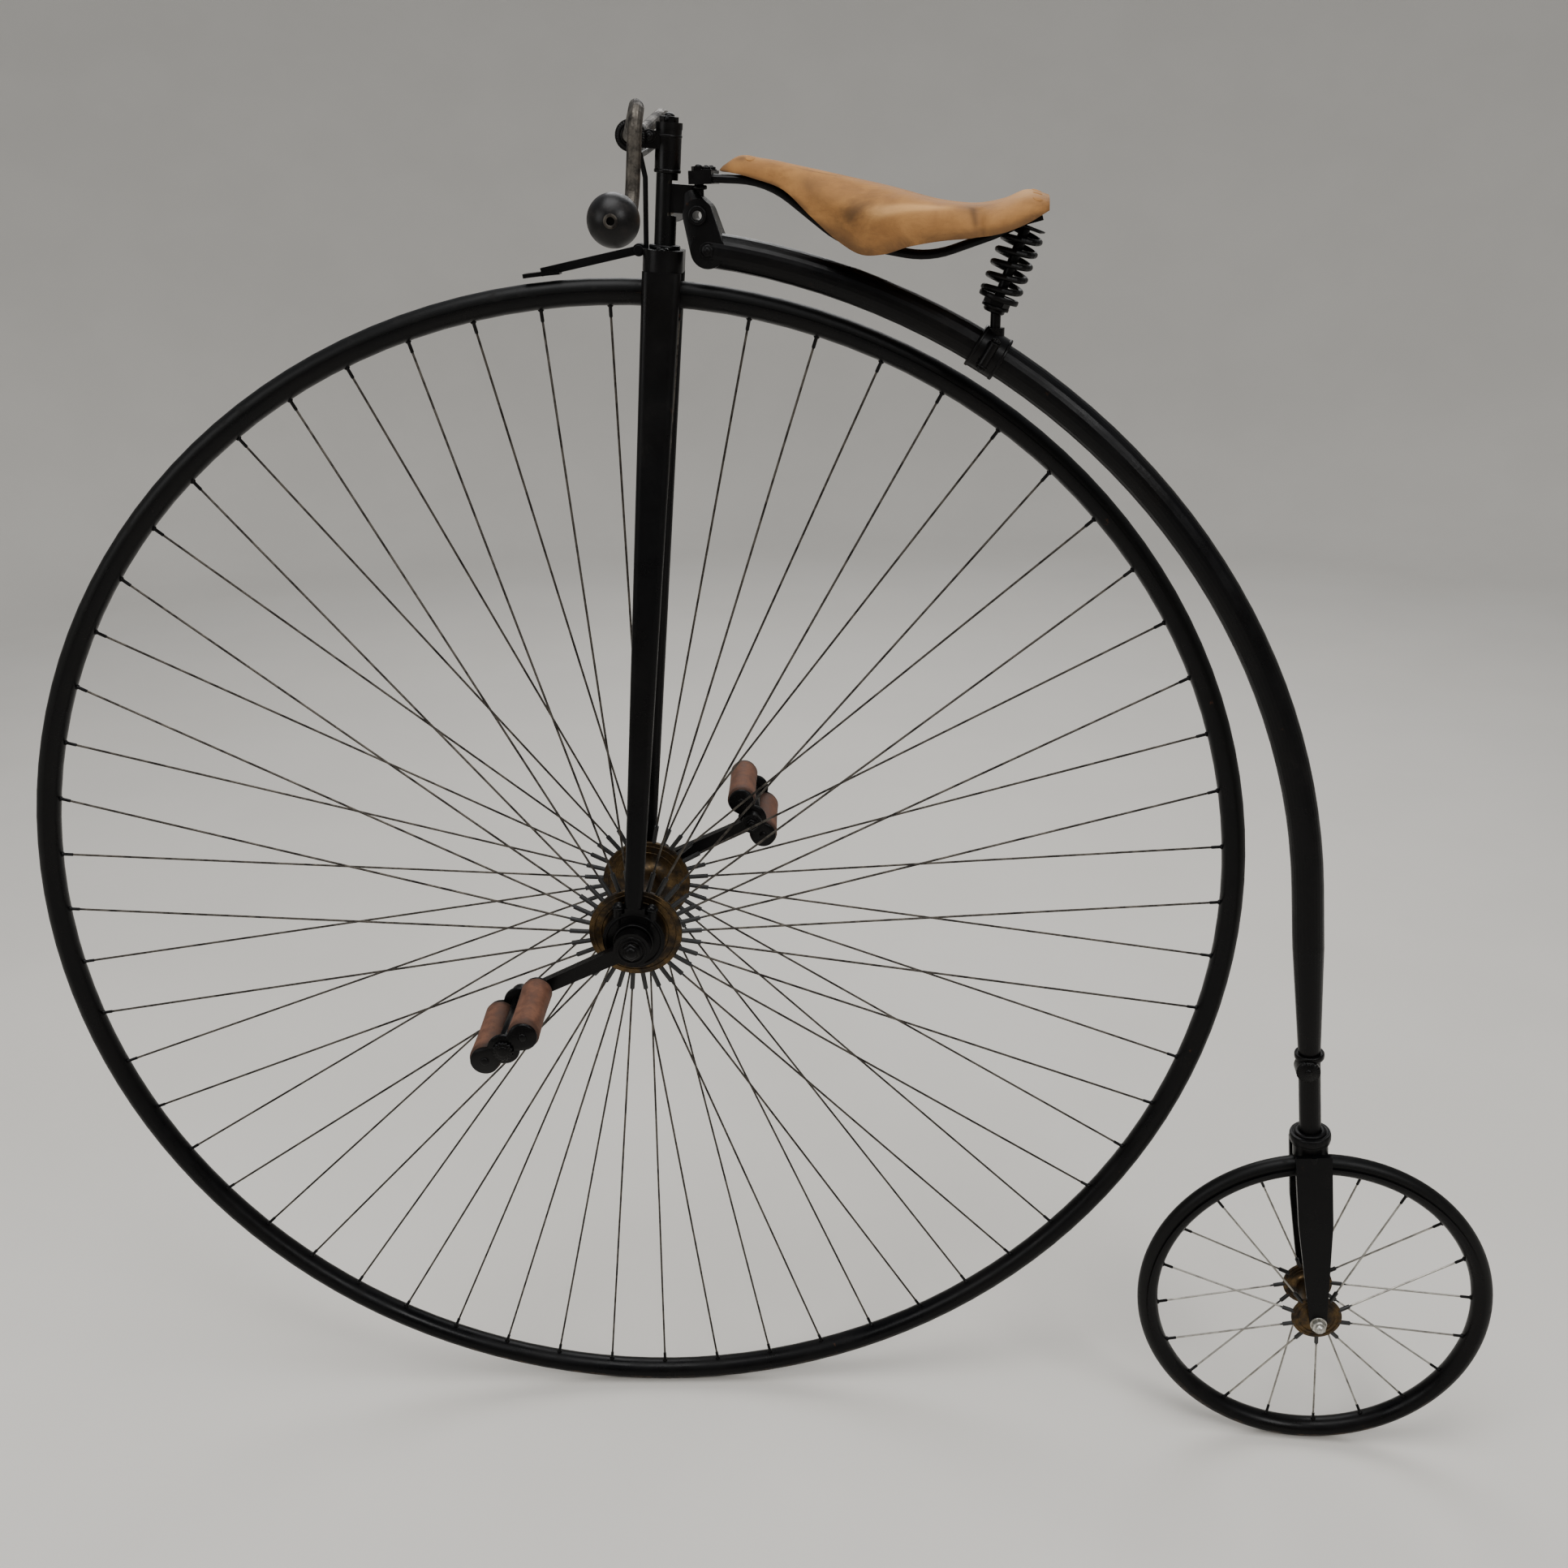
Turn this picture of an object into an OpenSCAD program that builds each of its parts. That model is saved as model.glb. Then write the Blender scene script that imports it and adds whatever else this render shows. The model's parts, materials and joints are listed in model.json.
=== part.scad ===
// High-wheel (penny farthing) bicycle.
// +X is forward, +Y is the rider's left and +Z is up.  The origin is the point
// of the saddle that carries the rider.  All sizes are in millimetres.

/* [Wheels] */
// Diameter of the front wheel over its tyre
front_d = 1372; // [1320:4:1400]
// Diameter of the rear wheel over its tyre
rear_d = 407; // [390:1:420]
// Distance between the two axles
wheelbase = 792; // [780:1:810]
// Thickness of the front tyre
front_tyre_t = 22; // [18:1:24]
// Thickness of the rear tyre
rear_tyre_t = 20; // [16:1:22]
// Number of spokes in the front wheel, half of them on each flange
front_spoke_count = 60; // [48:12:72]
// Number of spokes in the rear wheel, half of them on each flange
rear_spoke_count = 20; // [16:4:24]

/* [Steering] */
// Backward tilt of the steering axis
rake = 4.8; // [3:0.1:7]
// Angle of the front wheel as the bicycle is stored, positive to the left
steer_angle = 7; // [-15:1:15]
// Width of a fork blade at the crown, along the bicycle
blade_top_w = 38; // [34:1:42]
// Width of a fork blade at the hub
blade_foot_w = 20; // [18:1:26]
// Diameter of the steering head below its collar
head_d = 21; // [20:1:24]

/* [Handlebar] */
// Diameter of the handlebar tube
bar_d = 13; // [12:1:14]
// Distance from the middle of the bar to the outer end of a grip
bar_reach = 325; // [300:5:350]
// Depth of the drop from the lug down to the grips
bar_drop = 65; // [55:1:80]
// Largest diameter of a grip
grip_d = 42; // [38:1:46]

/* [Cranks and pedals] */
// Distance from the axle to a pedal spindle
crank_length = 138; // [120:1:150]
// Angle of the left crank below the horizontal, pointing forward
crank_angle = 25; // [-180:1:180]
// Angle of the left pedal, front edge down
pedal_tilt = 34; // [-180:1:180]
// Angle of the right pedal, front edge down
right_pedal_tilt = -60; // [-180:1:180]
// Length of a pedal block along its spindle
block_length = 94; // [80:1:100]
// Diameter of a pedal block
block_d = 34; // [28:1:36]

/* [Backbone] */
// Diameter of the backbone from the neck down to its taper
backbone_top_d = 33.5; // [32:0.5:38]
// Diameter of the backbone at the rear fork
backbone_end_d = 24; // [22:1:28]

/* [Saddle] */
// Length of the leather from nose to cantle
saddle_length = 306; // [290:2:320]
// Width of the leather at the cantle
saddle_width = 206; // [180:2:220]
// Outer diameter of the coil spring under the cantle
spring_d = 41; // [36:1:46]
// Number of turns of the coil spring
spring_turns = 5; // [4:1:6]

/* [Hidden] */
$fn = 64;

enamel = [0.06, 0.06, 0.07];
brass = [0.50, 0.36, 0.19];
rubber = [0.12, 0.12, 0.12];
block_brown = [0.48, 0.31, 0.24];
tan_leather = [0.66, 0.46, 0.28];
dark_steel = [0.33, 0.32, 0.30];
zinc = [0.75, 0.75, 0.72];

fit = 0.05;             // radial clearance of a shaft that turns
front_r = front_d / 2;
rear_r = rear_d / 2;

// The point of the saddle that carries the rider, above the ground and behind the front axle
seat_x = -300;
seat_z = 1449;

// Front hub and axle
flange_r = 51;
flange_y = 65;          // middle of a flange
flange_t = 6;
hub_barrel_r = 19;
axle_r = 9;
housing_in = 71;        // inner face of a bearing housing
housing_out = 90;
housing_r = 34;
blade_foot_y = 81;
blade_foot_z = 38;      // height of a blade's foot above the axle
crank_in = 97;          // inner face of a crank
crank_t = 13;
crank_out = crank_in + crank_t;
pedal_in = crank_out + 3;

// Crown, head and steering bearing, as distances along the steering axis from the front axle
crown_under = front_r + 8;
crown_top = crown_under + 20;
blade_top_y = 27.5;
blade_t = 14;
crown_w = blade_top_w + 1;
crown_y = blade_top_y + blade_t / 2 - crown_w / 2;
head_foot = crown_top + 2;
head_top = head_foot + 106;
head_r = head_d / 2;
spindle_r = 5;
head_bore_r = 8;
collar_r = 12.5;        // wider top of the head, which the lug clamps
collar_h = 37;
web_low = head_foot + 32;
web_high = web_low + 26;
web_t = 9;
web_reach = 26;         // from the steering axis back into the neck's lobe
steer_limit = 35;       // either way from straight ahead
window_half = asin(web_t / 2 / head_bore_r) + steer_limit + 8;

// Handlebar: its legs and grips stand just in front of the head, and its middle sweeps forward to the lug
bar_x = 16;
bar_sweep = 19;
bar_z = head_top - 8;
bar_top_z = bar_z + 23;
bar_leg_y = 160;
grip_z = bar_z - bar_drop;
grip_length = 98;

// Backbone: an arc round the back of the front wheel, then a straight tail to the rear hub
arc_x = 7;
arc_z = front_r - 25;
arc_r = front_r + 58;
tail_dx = wheelbase + arc_x;
tail_dz = arc_z - rear_r;
tail_angle = atan2(tail_dx, tail_dz) - asin(arc_r / norm([tail_dx, tail_dz]));
arc_start = 81.3;
fork_top = 236;         // top of the rear fork's socket, along the tail from the rear axle
taper_top = 470;        // the tube narrows between these two places, along the tail from the rear axle
taper_foot = 335;
tail_length = sqrt(pow(tail_dx, 2) + pow(tail_dz, 2) - pow(arc_r, 2));

// Rear hub and fork
rear_flange_y = 30;
rear_flange_r = 28;
rear_axle_r = 5;
rear_blade_y = 40;
rear_blade_t = 6;

// Saddle fittings, as places above the ground and behind the front axle
clip_x = -96;
clip_z = 1462;
rail_d = 8;
rail_y = 13;
spring_foot = [-385, 1351];
spring_head = [-408, 1414];
spring_wire = 6;
clamp_angle = 59;       // place of the saddle clamp round the backbone's arc

// ---- Frames of reference ----

// From the ground under the front axle to the part's own origin
module grounded() { translate([-seat_x, 0, -seat_z]) children(); }

// The fork's frame: origin on the front axle, +Z along the steering axis
module steered() {
    grounded() translate([0, 0, front_r]) rotate([0, -rake, 0]) rotate([0, 0, steer_angle]) children();
}

// The same frame held by the backbone, which doesn't steer
module unsteered() { grounded() translate([0, 0, front_r]) rotate([0, -rake, 0]) children(); }

// A place round the backbone's arc, with +Z pointing away from the wheel and +X up the tube
module on_arc(angle) {
    grounded() translate([arc_x, 0, arc_z]) rotate([0, angle - 90, 0]) translate([0, 0, arc_r]) children();
}

// The rear fork's frame: origin on the rear axle, +Z up the backbone's tail
module tailed() {
    grounded() translate([-wheelbase, 0, rear_r]) rotate([0, tail_angle, 0]) children();
}

// The left crank's frame: +X from the axle to the pedal spindle, side 1 is left and -1 is right
module cranked(side) {
    steered() rotate([0, crank_angle + rake + (side > 0 ? 0 : 180), 0]) children();
}

// A pedal's frame: origin on the spindle at the crank, +Y outwards along the spindle
module pedalled(side) {
    cranked(side) translate([crank_length, side * pedal_in, 0])
        rotate([0, side > 0 ? pedal_tilt - crank_angle : right_pedal_tilt - crank_angle - 180, 0])
            scale_side(side) children();
}

// Mirrors its children for the right-hand side
module scale_side(side) {
    if (side > 0) children();
    else mirror([0, 1, 0]) children();
}

// ---- Shapes ----

// A rod along Y from y1 to y2
module along_y(r, y1, y2) { translate([0, y1, 0]) rotate([-90, 0, 0]) cylinder(r = r, h = y2 - y1); }

// A cone along Y from y1 to y2
module cone_y(r1, r2, y1, y2) {
    translate([0, y1, 0]) rotate([-90, 0, 0]) cylinder(r1 = r1, r2 = r2, h = y2 - y1);
}

// A ring about the Y axis, from its half-section with x as the radius and y as the place along Y
module ring_y() { rotate([-90, 0, 0]) rotate_extrude($fn = 180) children(); }

function unit(v) = v / norm(v);

// Points of the round bend that replaces the corner b of a path, each bend in a few chords
bend_chords = 6;
function bend_points(a, b, c, r) =
    let (u = unit(a - b), v = unit(c - b), half = acos(u * v) / 2, mid = b + unit(u + v) * r / sin(half),
         side = sign(cross(u, v)), first = b + u * r / tan(half) - mid, sweep = 180 - 2 * half)
    [for (i = [0 : bend_chords])
        let (turn = -side * sweep * i / bend_chords)
        mid + [first.x * cos(turn) - first.y * sin(turn), first.x * sin(turn) + first.y * cos(turn)]];

// A path with each of its inner corners rounded
function rounded(p, r) = concat([p[0]], [for (i = [1 : 1 : len(p) - 2]) each bend_points(p[i - 1], p[i], p[i + 1], r)],
    [p[len(p) - 1]]);

// Direction of a path at point i
function heading(p, i) = unit(p[min(i + 1, len(p) - 1)] - p[max(i - 1, 0)]);

// Two triangles of a four-sided face whose corners run clockwise as seen from outside
function four(a, b, c, d) = [[a, b, c], [a, c, d]];

// Side faces of a tube made of rings of points that run anticlockwise about its heading
function tube_sides(rings, sides) =
    [for (i = [0 : rings - 2], j = [0 : sides - 1])
        let (k = (j + 1) % sides, near = i * sides, far = near + sides)
        each four(near + j, far + j, far + k, near + k)];

// Faces of a closed tube with flat ends
function tube_faces(rings, sides) = concat([[for (j = [0 : sides - 1]) j]], tube_sides(rings, sides),
    [[for (j = [sides - 1 : -1 : 0]) (rings - 1) * sides + j]]);

// Faces of a thin channel whose rings run across its outer face and back across its inner one
function channel_faces(rings, across) = concat(tube_sides(rings, 2 * across),
    [for (j = [0 : across - 2]) each four(j, j + 1, 2 * across - 2 - j, 2 * across - 1 - j)],
    [for (j = [0 : across - 2]) let (last = (rings - 1) * 2 * across)
        each four(last + 2 * across - 1 - j, last + 2 * across - 2 - j, last + j + 1, last + j)]);

// A round rod that follows a path of the XY plane, moved along Z by aside(x)
rod_sides = 16;
module bent_rod(corners, r, d, aside = function(x) 0) {
    p = rounded(corners, r);
    points = [for (i = [0 : len(p) - 1], j = [0 : rod_sides - 1])
        let (h = heading(p, i), t = j * 360 / rod_sides)
        [p[i].x - h.y * cos(t) * d / 2, p[i].y + h.x * cos(t) * d / 2,
         sin(t) * d / 2 + aside(p[i].x)]];
    polyhedron(points, tube_faces(len(p), rod_sides), convexity = 6);
}

// ---- Backbone and rear fork ----

// Cross hole of the neck, above the ground and behind the front axle
eye_x = -96;
eye_z = 1428;
eye_r = 4.5;

bone_arc_steps = 34;
bone_sides = 28;
bone_total = arc_r * (arc_start - tail_angle) * PI / 180 + tail_length - fork_top + 20;

// Centre, outward direction and distance from the neck of the backbone's rings
function bone_on_arc(i) = let (a = arc_start + (tail_angle - arc_start) * i / bone_arc_steps)
    [arc_x - arc_r * cos(a), arc_z + arc_r * sin(a), a, arc_r * (arc_start - a) * PI / 180];
function bone_on_tail(s) =
    [-wheelbase + s * sin(tail_angle), rear_r + s * cos(tail_angle), tail_angle, bone_total + fork_top - 20 - s];
bone_stations = concat([for (i = [0 : bone_arc_steps]) bone_on_arc(i)],
    [for (s = [taper_top, taper_top - 45, taper_top - 90, taper_foot, fork_top - 20]) bone_on_tail(s)]);
function bone_r(s) = let (tail = bone_total + fork_top - 20 - s,
        slim = max(0, min(1, (taper_top - tail) / (taper_top - taper_foot))))
    (backbone_top_d + (backbone_end_d - backbone_top_d) * slim) / 2;

module backbone() {
    points = [for (q = bone_stations, j = [0 : bone_sides - 1])
        let (t = j * 360 / bone_sides, r = bone_r(q[3]))
        [q[0] - r * cos(t) * cos(q[2]), r * sin(t), q[1] + r * cos(t) * sin(q[2])]];
    color(enamel) grounded() polyhedron(points, tube_faces(len(bone_stations), bone_sides), convexity = 6);
}

// Forging that joins the steering spindle to the front end of the backbone
module neck() {
    color(enamel) {
        unsteered() difference() {
            union() {
                translate([0, 0, web_low]) cylinder(r = head_bore_r - 1, h = web_high - web_low);
                translate([-web_reach, -web_t / 2, web_low]) cube([web_reach, web_t, web_high - web_low]);
            }
            translate([0, 0, web_low - 1]) cylinder(r = spindle_r, h = web_high - web_low + 2);
        }
        grounded() difference() {
            union() {
                hull() {
                    translate([eye_x, 0, eye_z]) along_y(15, -12, 12, $fn = 32);
                    translate([eye_x - 9, 0, eye_z - 32]) along_y(17, -15, 15, $fn = 32);
                    translate([eye_x + 6, 0, eye_z + 15]) along_y(8, -8, 8, $fn = 32);
                }
                translate([eye_x, 0, eye_z]) along_y(9, -16, 16);
            }
            translate([eye_x, 0, eye_z]) along_y(eye_r, -20, 20);
        }
    }
}

// Spindle that turns inside the head, with its conical ends
module steering_spindle() {
    color(dark_steel) unsteered() {
        translate([0, 0, head_foot + 1]) cylinder(r = spindle_r, h = head_top - head_foot - 2);
    }
}

// Socket, arch and blades that carry the rear wheel
module rear_fork() {
    color(enamel) tailed() difference() {
        union() {
            translate([0, 0, fork_top - 12]) cylinder(r = 21.8, h = 12);
            translate([0, 0, fork_top - 30]) cylinder(r = 19.5, h = 20);
            hull() for (y = [-1, 1]) translate([0, y * 18, fork_top - 32]) cylinder(r = 8, h = 12, $fn = 32);
            for (side = [-1, 1]) {
                hull() {
                    translate([-20, side * 22 - rear_blade_t / 2, fork_top - 34]) cube([40, rear_blade_t, 14]);
                    translate([-19, side * 31 - rear_blade_t / 2, 130]) cube([38, rear_blade_t, 4]);
                }
                hull() {
                    translate([-19, side * 31 - rear_blade_t / 2, 130]) cube([38, rear_blade_t, 4]);
                    along_y(9.5, side * rear_blade_y - rear_blade_t / 2, side * rear_blade_y + rear_blade_t / 2,
                        $fn = 32);
                }
            }
        }
        along_y(rear_axle_r, -60, 60);
    }
}

module rear_axle() {
    color(zinc) tailed() {
        along_y(rear_axle_r, -50, 50);
        for (side = [-1, 1]) scale_side(side) {
            along_y(9, 43, 52);
            cone_y(9, 5, 52, 56);
        }
    }
}

// Collar low on the backbone with the round boss that a rider's toe starts from
module mounting_step() {
    step_at = 336;
    bone = bone_r(bone_total + fork_top - 20 - step_at);
    color(enamel) tailed() difference() {
        union() {
            translate([0, 0, step_at - 3]) cylinder(r = bone + 2.5, h = 6);
            translate([4, 0, step_at - 12]) along_y(13, 0, bone + 6);
        }
        translate([0, 0, step_at - 40]) cylinder(r = bone, h = 80);
    }
}

// ---- Saddle ----

module saddle_front_post() {
    color(enamel) grounded() {
        translate([clip_x, 0, eye_z + 10]) cylinder(r = 4.5, h = clip_z + 8 - eye_z - 10);
        translate([clip_x, 0, clip_z + 6]) cylinder(r = 7, h = 4, $fn = 6);
    }
}

// Clip that holds the front ends of the rails
module saddle_clip() {
    color(enamel) grounded() difference() {
        translate([clip_x - 16, -22, clip_z - 6]) cube([22, 44, 12]);
        for (y = [-rail_y, rail_y]) translate([clip_x - 20, y, clip_z]) rotate([0, 90, 0]) cylinder(d = rail_d, h = 40);
        translate([clip_x, 0, clip_z - 10]) cylinder(r = 4.5, h = 20);
    }
}

rail_path = [[clip_x + 4, clip_z], [-164, clip_z - 4], [-236, 1402], [-318, 1387], [-376, 1406], [-396, 1414]];

module saddle_rails() {
    color(enamel) grounded() for (y = [-rail_y, rail_y])
        translate([0, y, 0]) rotate([90, 0, 0]) bent_rod(rail_path, 90, rail_d);
}

// Bent plate under the back of the leather, held up by the coil spring
module saddle_cantle_plate() {
    color(enamel) grounded() translate([spring_head.x, 0, spring_head.y + 3]) rotate([0, 14, 0]) difference() {
        translate([-15, -70, 0]) cube([30, 140, 4]);
        for (y = [-62, 62]) translate([0, y, -1]) cylinder(r = 3, h = 6);
    }
}

spring_lean = atan2(spring_foot.x - spring_head.x, spring_head.y - spring_foot.y);
spring_h = norm(spring_head - spring_foot);
module sprung() { grounded() translate([spring_foot.x, 0, spring_foot.y]) rotate([0, -spring_lean, 0]) children(); }

coil_sides = 10;
coil_steps = 24 * spring_turns;
module saddle_coil_spring() {
    mean_r = (spring_d - spring_wire) / 2;
    wire_r = spring_wire / 2;
    rise = (spring_h - spring_wire - 1) / coil_steps;
    slope = atan2(rise * coil_steps / spring_turns, 2 * PI * mean_r);
    points = [for (i = [0 : coil_steps], j = [0 : coil_sides - 1])
        let (a = i * 360 * spring_turns / coil_steps, t = -j * 360 / coil_sides,
             r = mean_r + wire_r * cos(t), up = wire_r * sin(t))
        [r * cos(a) + up * sin(slope) * sin(a), r * sin(a) - up * sin(slope) * cos(a),
         wire_r + 0.5 + i * rise + up * cos(slope)]];
    color(enamel) sprung() polyhedron(points, tube_faces(coil_steps + 1, coil_sides), convexity = 12);
}

// Rod with the cup and nut that the coil spring stands on
module saddle_rear_post() {
    color(enamel) {
        sprung() {
            cylinder(r = 5, h = spring_h - 2);
            translate([0, 0, -4]) cylinder(r = 18, h = 4);
            translate([0, 0, -12]) cylinder(r = 13, h = 8, $fn = 6);
        }
        grounded() translate([spring_foot.x + 3, 0, 1310]) cylinder(r = 5, h = 32);
    }
}

module saddle_clamp() {
    bone = bone_r(arc_r * (arc_start - clamp_angle) * PI / 180);
    color(enamel) {
        on_arc(clamp_angle) difference() {
            union() {
                translate([-15, 0, 0]) rotate([0, 90, 0]) cylinder(r = bone + 4, h = 30);
                for (y = [-1, 1]) translate([0, y * (bone + 5), -12]) cylinder(r = 5, h = 24, $fn = 32);
            }
            translate([-30, 0, 0]) rotate([0, 90, 0]) cylinder(r = bone, h = 60);
        }
        grounded() difference() {
            translate([spring_foot.x + 3, 0, 1308]) cylinder(r = 9, h = 14);
            translate([spring_foot.x + 3, 0, 1300]) cylinder(r = 5, h = 30);
            translate([arc_x, 0, arc_z]) along_y(arc_r + bone + 1, -20, 20, $fn = 360);
        }
    }
}

// The leather's shape from the nose, s = 0, to the cantle, s = 1
saddle_nose_x = -122;
ridge_points = [[0, 1475], [0.05, 1481], [0.24, 1471], [0.43, 1458], [0.57, 1450], [0.70, 1442],
    [0.80, 1438], [0.87, 1440], [0.94, 1447], [1, 1440]];
width_points = [[0, 0.12], [0.04, 0.19], [0.12, 0.225], [0.25, 0.28], [0.40, 0.42], [0.55, 0.62],
    [0.70, 0.83], [0.82, 0.97], [0.90, 1.0], [0.96, 0.93], [1, 0.80]];
skirt_points = [[0, 1468], [0.10, 1461], [0.20, 1448], [0.28, 1425], [0.36, 1403], [0.45, 1391],
    [0.54, 1395], [0.65, 1402], [0.78, 1407], [0.88, 1411], [0.94, 1418], [1, 1428]];
function ridge_z(s) = lookup(s, ridge_points);
function half_w(s) = lookup(s, width_points) * saddle_width / 2;
function skirt_z(s) = lookup(s, skirt_points);

// A point of the leather across at t, -1 to 1, lying inset below the outer face
function leather_point(s, t, inset) =
    let (w = half_w(s) - inset, top = ridge_z(s) - inset, low = skirt_z(s), a = 90 * abs(t),
         e = 0.72)
    [saddle_nose_x - s * saddle_length + inset * (s < 0.02 ? -1 : (s > 0.98 ? 1 : 0)),
     sign(t) * w * pow(sin(a), e),
     low + (top - low) * pow(cos(a), e)];

leather_t = 4;
leather_s = 30;
leather_half = 9;
module saddle_leather() {
    across = 2 * leather_half + 1;
    ring = 2 * across;
    points = [for (i = [0 : leather_s], k = [0 : ring - 1])
        let (outer = k < across, m = outer ? k : ring - 1 - k)
        leather_point(i / leather_s, (m - leather_half) / leather_half, outer ? 0 : leather_t)];
    color(tan_leather) grounded() polyhedron(points, channel_faces(leather_s + 1, across), convexity = 8);
}

// ---- Fork, head and handlebar ----

// Hollow head with a window at the back, through which the neck reaches the spindle
module head() {
    color(enamel) steered() difference() {
        union() {
            translate([0, 0, head_foot]) cylinder(r = head_r, h = head_top - head_foot);
            translate([0, 0, head_top - collar_h]) cylinder(r = collar_r, h = collar_h);
        }
        translate([0, 0, head_foot - 1]) cylinder(r = spindle_r + fit, h = head_top - head_foot + 2);
        translate([0, 0, web_low - 6]) cylinder(r = head_bore_r, h = web_high - web_low + 12);
        rotate([0, 0, 180 - window_half]) translate([0, 0, web_low - 3])
            rotate_extrude(angle = 2 * window_half) square([head_d, web_high - web_low + 6]);
    }
}

module head_cap() {
    color(enamel) steered() {
        translate([0, 0, head_top]) cylinder(r = collar_r + 0.5, h = 6);
        translate([0, 0, head_top + 6]) cylinder(r = 9, h = 5, $fn = 6);
    }
}

module fork_crown() {
    color(enamel) steered() {
        for (side = [-1, 1]) translate([0, side * crown_y, crown_under])
            cylinder(r = crown_w / 2, h = crown_top - crown_under);
        translate([-crown_w / 2, -crown_y, crown_under]) cube([crown_w, 2 * crown_y, crown_top - crown_under]);
        translate([0, 0, crown_top]) cylinder(r = head_r + 4, h = 2);
    }
}

// A blade of flat oval section, from the crown down to the bearing housing
module fork_blade(side) {
    top_w = blade_top_w / 2 - blade_t / 2;
    foot_w = blade_foot_w / 2 - 6;
    color(enamel) steered() scale_side(side) hull() {
        for (x = [-1, 1]) {
            translate([x * top_w, blade_top_y, crown_under - 1]) cylinder(d = blade_t, h = 1, $fn = 32);
            translate([2 + x * foot_w, blade_foot_y, blade_foot_z]) cylinder(d = 12, h = 1, $fn = 32);
        }
    }
}
module fork_blade_left() { fork_blade(1); }
module fork_blade_right() { fork_blade(-1); }

// Bearing at the foot of a blade, split across the axle and held by two bolts
module bearing_housing(side) {
    color(enamel) steered() scale_side(side) difference() {
        union() {
            along_y(housing_r, housing_in, housing_out - 4);
            along_y(22, housing_out - 4, housing_out + 2);
            for (x = [-1, 1]) translate([x * 18, blade_foot_y, 18]) cylinder(r = 6, h = 18);
            translate([-11, blade_foot_y - 6, 20]) cube([22, 12, blade_foot_z - 20]);
        }
        along_y(axle_r + fit, 50, 120);
    }
}
module bearing_housing_left() { bearing_housing(1); }
module bearing_housing_right() { bearing_housing(-1); }

bar_middle = 24;        // half of the straight middle of the bar
bar_half_path = [[bar_middle - 1, bar_z], [bar_middle + 10, bar_z], [bar_leg_y - 34, bar_top_z],
    [bar_leg_y, bar_top_z - 2], [bar_leg_y + 6, grip_z], [bar_reach - grip_length + 20, grip_z]];

// How far the bar's middle stands forward of its legs, at a place along it
function bar_forward(y) = bar_sweep * (1 - max(0, min(1, (abs(y) - bar_middle) / (bar_leg_y - bar_middle - 14))));

module handlebar() {
    color(dark_steel) steered() translate([bar_x, 0, 0]) {
        translate([bar_sweep, 0, bar_z]) along_y(bar_d / 2, -bar_middle, bar_middle);
        for (side = [-1, 1]) scale_side(side) rotate([90, 0, 90])
            bent_rod(bar_half_path, 26, bar_d - 0.3, function(y) bar_forward(y));
    }
}

// Lug on the front of the head's collar, with the round boss that clamps the bar
lug_r = 14.5;
module handlebar_lug() {
    color(enamel) steered() difference() {
        union() {
            translate([bar_x + bar_sweep, 0, bar_z]) along_y(lug_r, -15, 15);
            translate([0, -10, bar_z - 10]) cube([bar_x + bar_sweep, 20, 16]);
        }
        translate([bar_x + bar_sweep, 0, bar_z]) along_y(bar_d / 2, -30, 30);
        translate([0, 0, bar_z - 20]) cylinder(r = collar_r, h = 60);
    }
}

// Pear-shaped grip with a small hole in its end
module grip(side) {
    big = grip_d / 2;
    small = 11;
    color(rubber) steered() translate([bar_x, 0, grip_z]) scale_side(side) difference() {
        rotate([-90, 0, 0]) translate([0, 0, bar_reach - grip_length]) rotate_extrude() difference() {
            union() {
                polygon([[0, 0], [small, 0], [small + 1, 12], [big * 0.93, grip_length - big - 8],
                    [0, grip_length - big - 8]]);
                translate([0, grip_length - big]) intersection() {
                    circle(r = big);
                    translate([0, -8]) square([big, big + 8]);
                }
            }
            translate([-1, -1]) square([1 + bar_d / 2, 21]);
            translate([-1, grip_length - 8]) square([4, 10]);
        }
    }
}
module grip_left() { grip(1); }
module grip_right() { grip(-1); }

// Hand lever of the brake, along the front of the right half of the bar
module brake_lever() {
    color(enamel) steered() translate([bar_x - 6, 0, bar_z - lug_r - 3]) rotate([90, 0, 90])
        bent_rod([[7, 0], [-40, 4], [-110, 17], [-142, 12]], 20, 7, function(y) bar_forward(y));
}

module brake_rod() {
    color(enamel) steered() rotate([90, 0, 0])
        bent_rod([[bar_x + 11, bar_z - lug_r], [bar_x + 5, bar_z - 36], [bar_x + 2, crown_top]], 12, 5);
}

// A flat bar of width w and thickness t between two points of the plane across the wheel
module strap(a, b, w, t) {
    translate([a.x, 0, a.y]) rotate([0, -atan2(b.y - a.y, b.x - a.x), 0]) translate([0, -w / 2, -t / 2])
        cube([norm(b - a), w, t]);
}

// Arm from the crown to the spoon that is pressed on the tyre
spoon_gap = 5.5;
spoon_t = 4;
spoon_angle = 9.9;      // middle of the spoon, forward of the crown
spoon_half = 1.5;
module brake_spoon() {
    spoon_r = front_r + spoon_gap;
    pivot = [crown_w / 2 + 5, crown_top - 2];
    tip_r = spoon_r + spoon_t - 0.5;
    tip = [tip_r * sin(spoon_angle), tip_r * cos(spoon_angle)];
    color(enamel) steered() {
        translate([pivot.x, 0, pivot.y]) along_y(6, -9, 9);
        strap(pivot, tip, 12, 8);
        rotate([0, spoon_angle - 90 - spoon_half, 0]) rotate([-90, 0, 0])
            rotate_extrude(angle = 2 * spoon_half, $fn = 360) translate([spoon_r, -9]) square([spoon_t, 18]);
    }
}

// ---- Wheels ----

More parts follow.
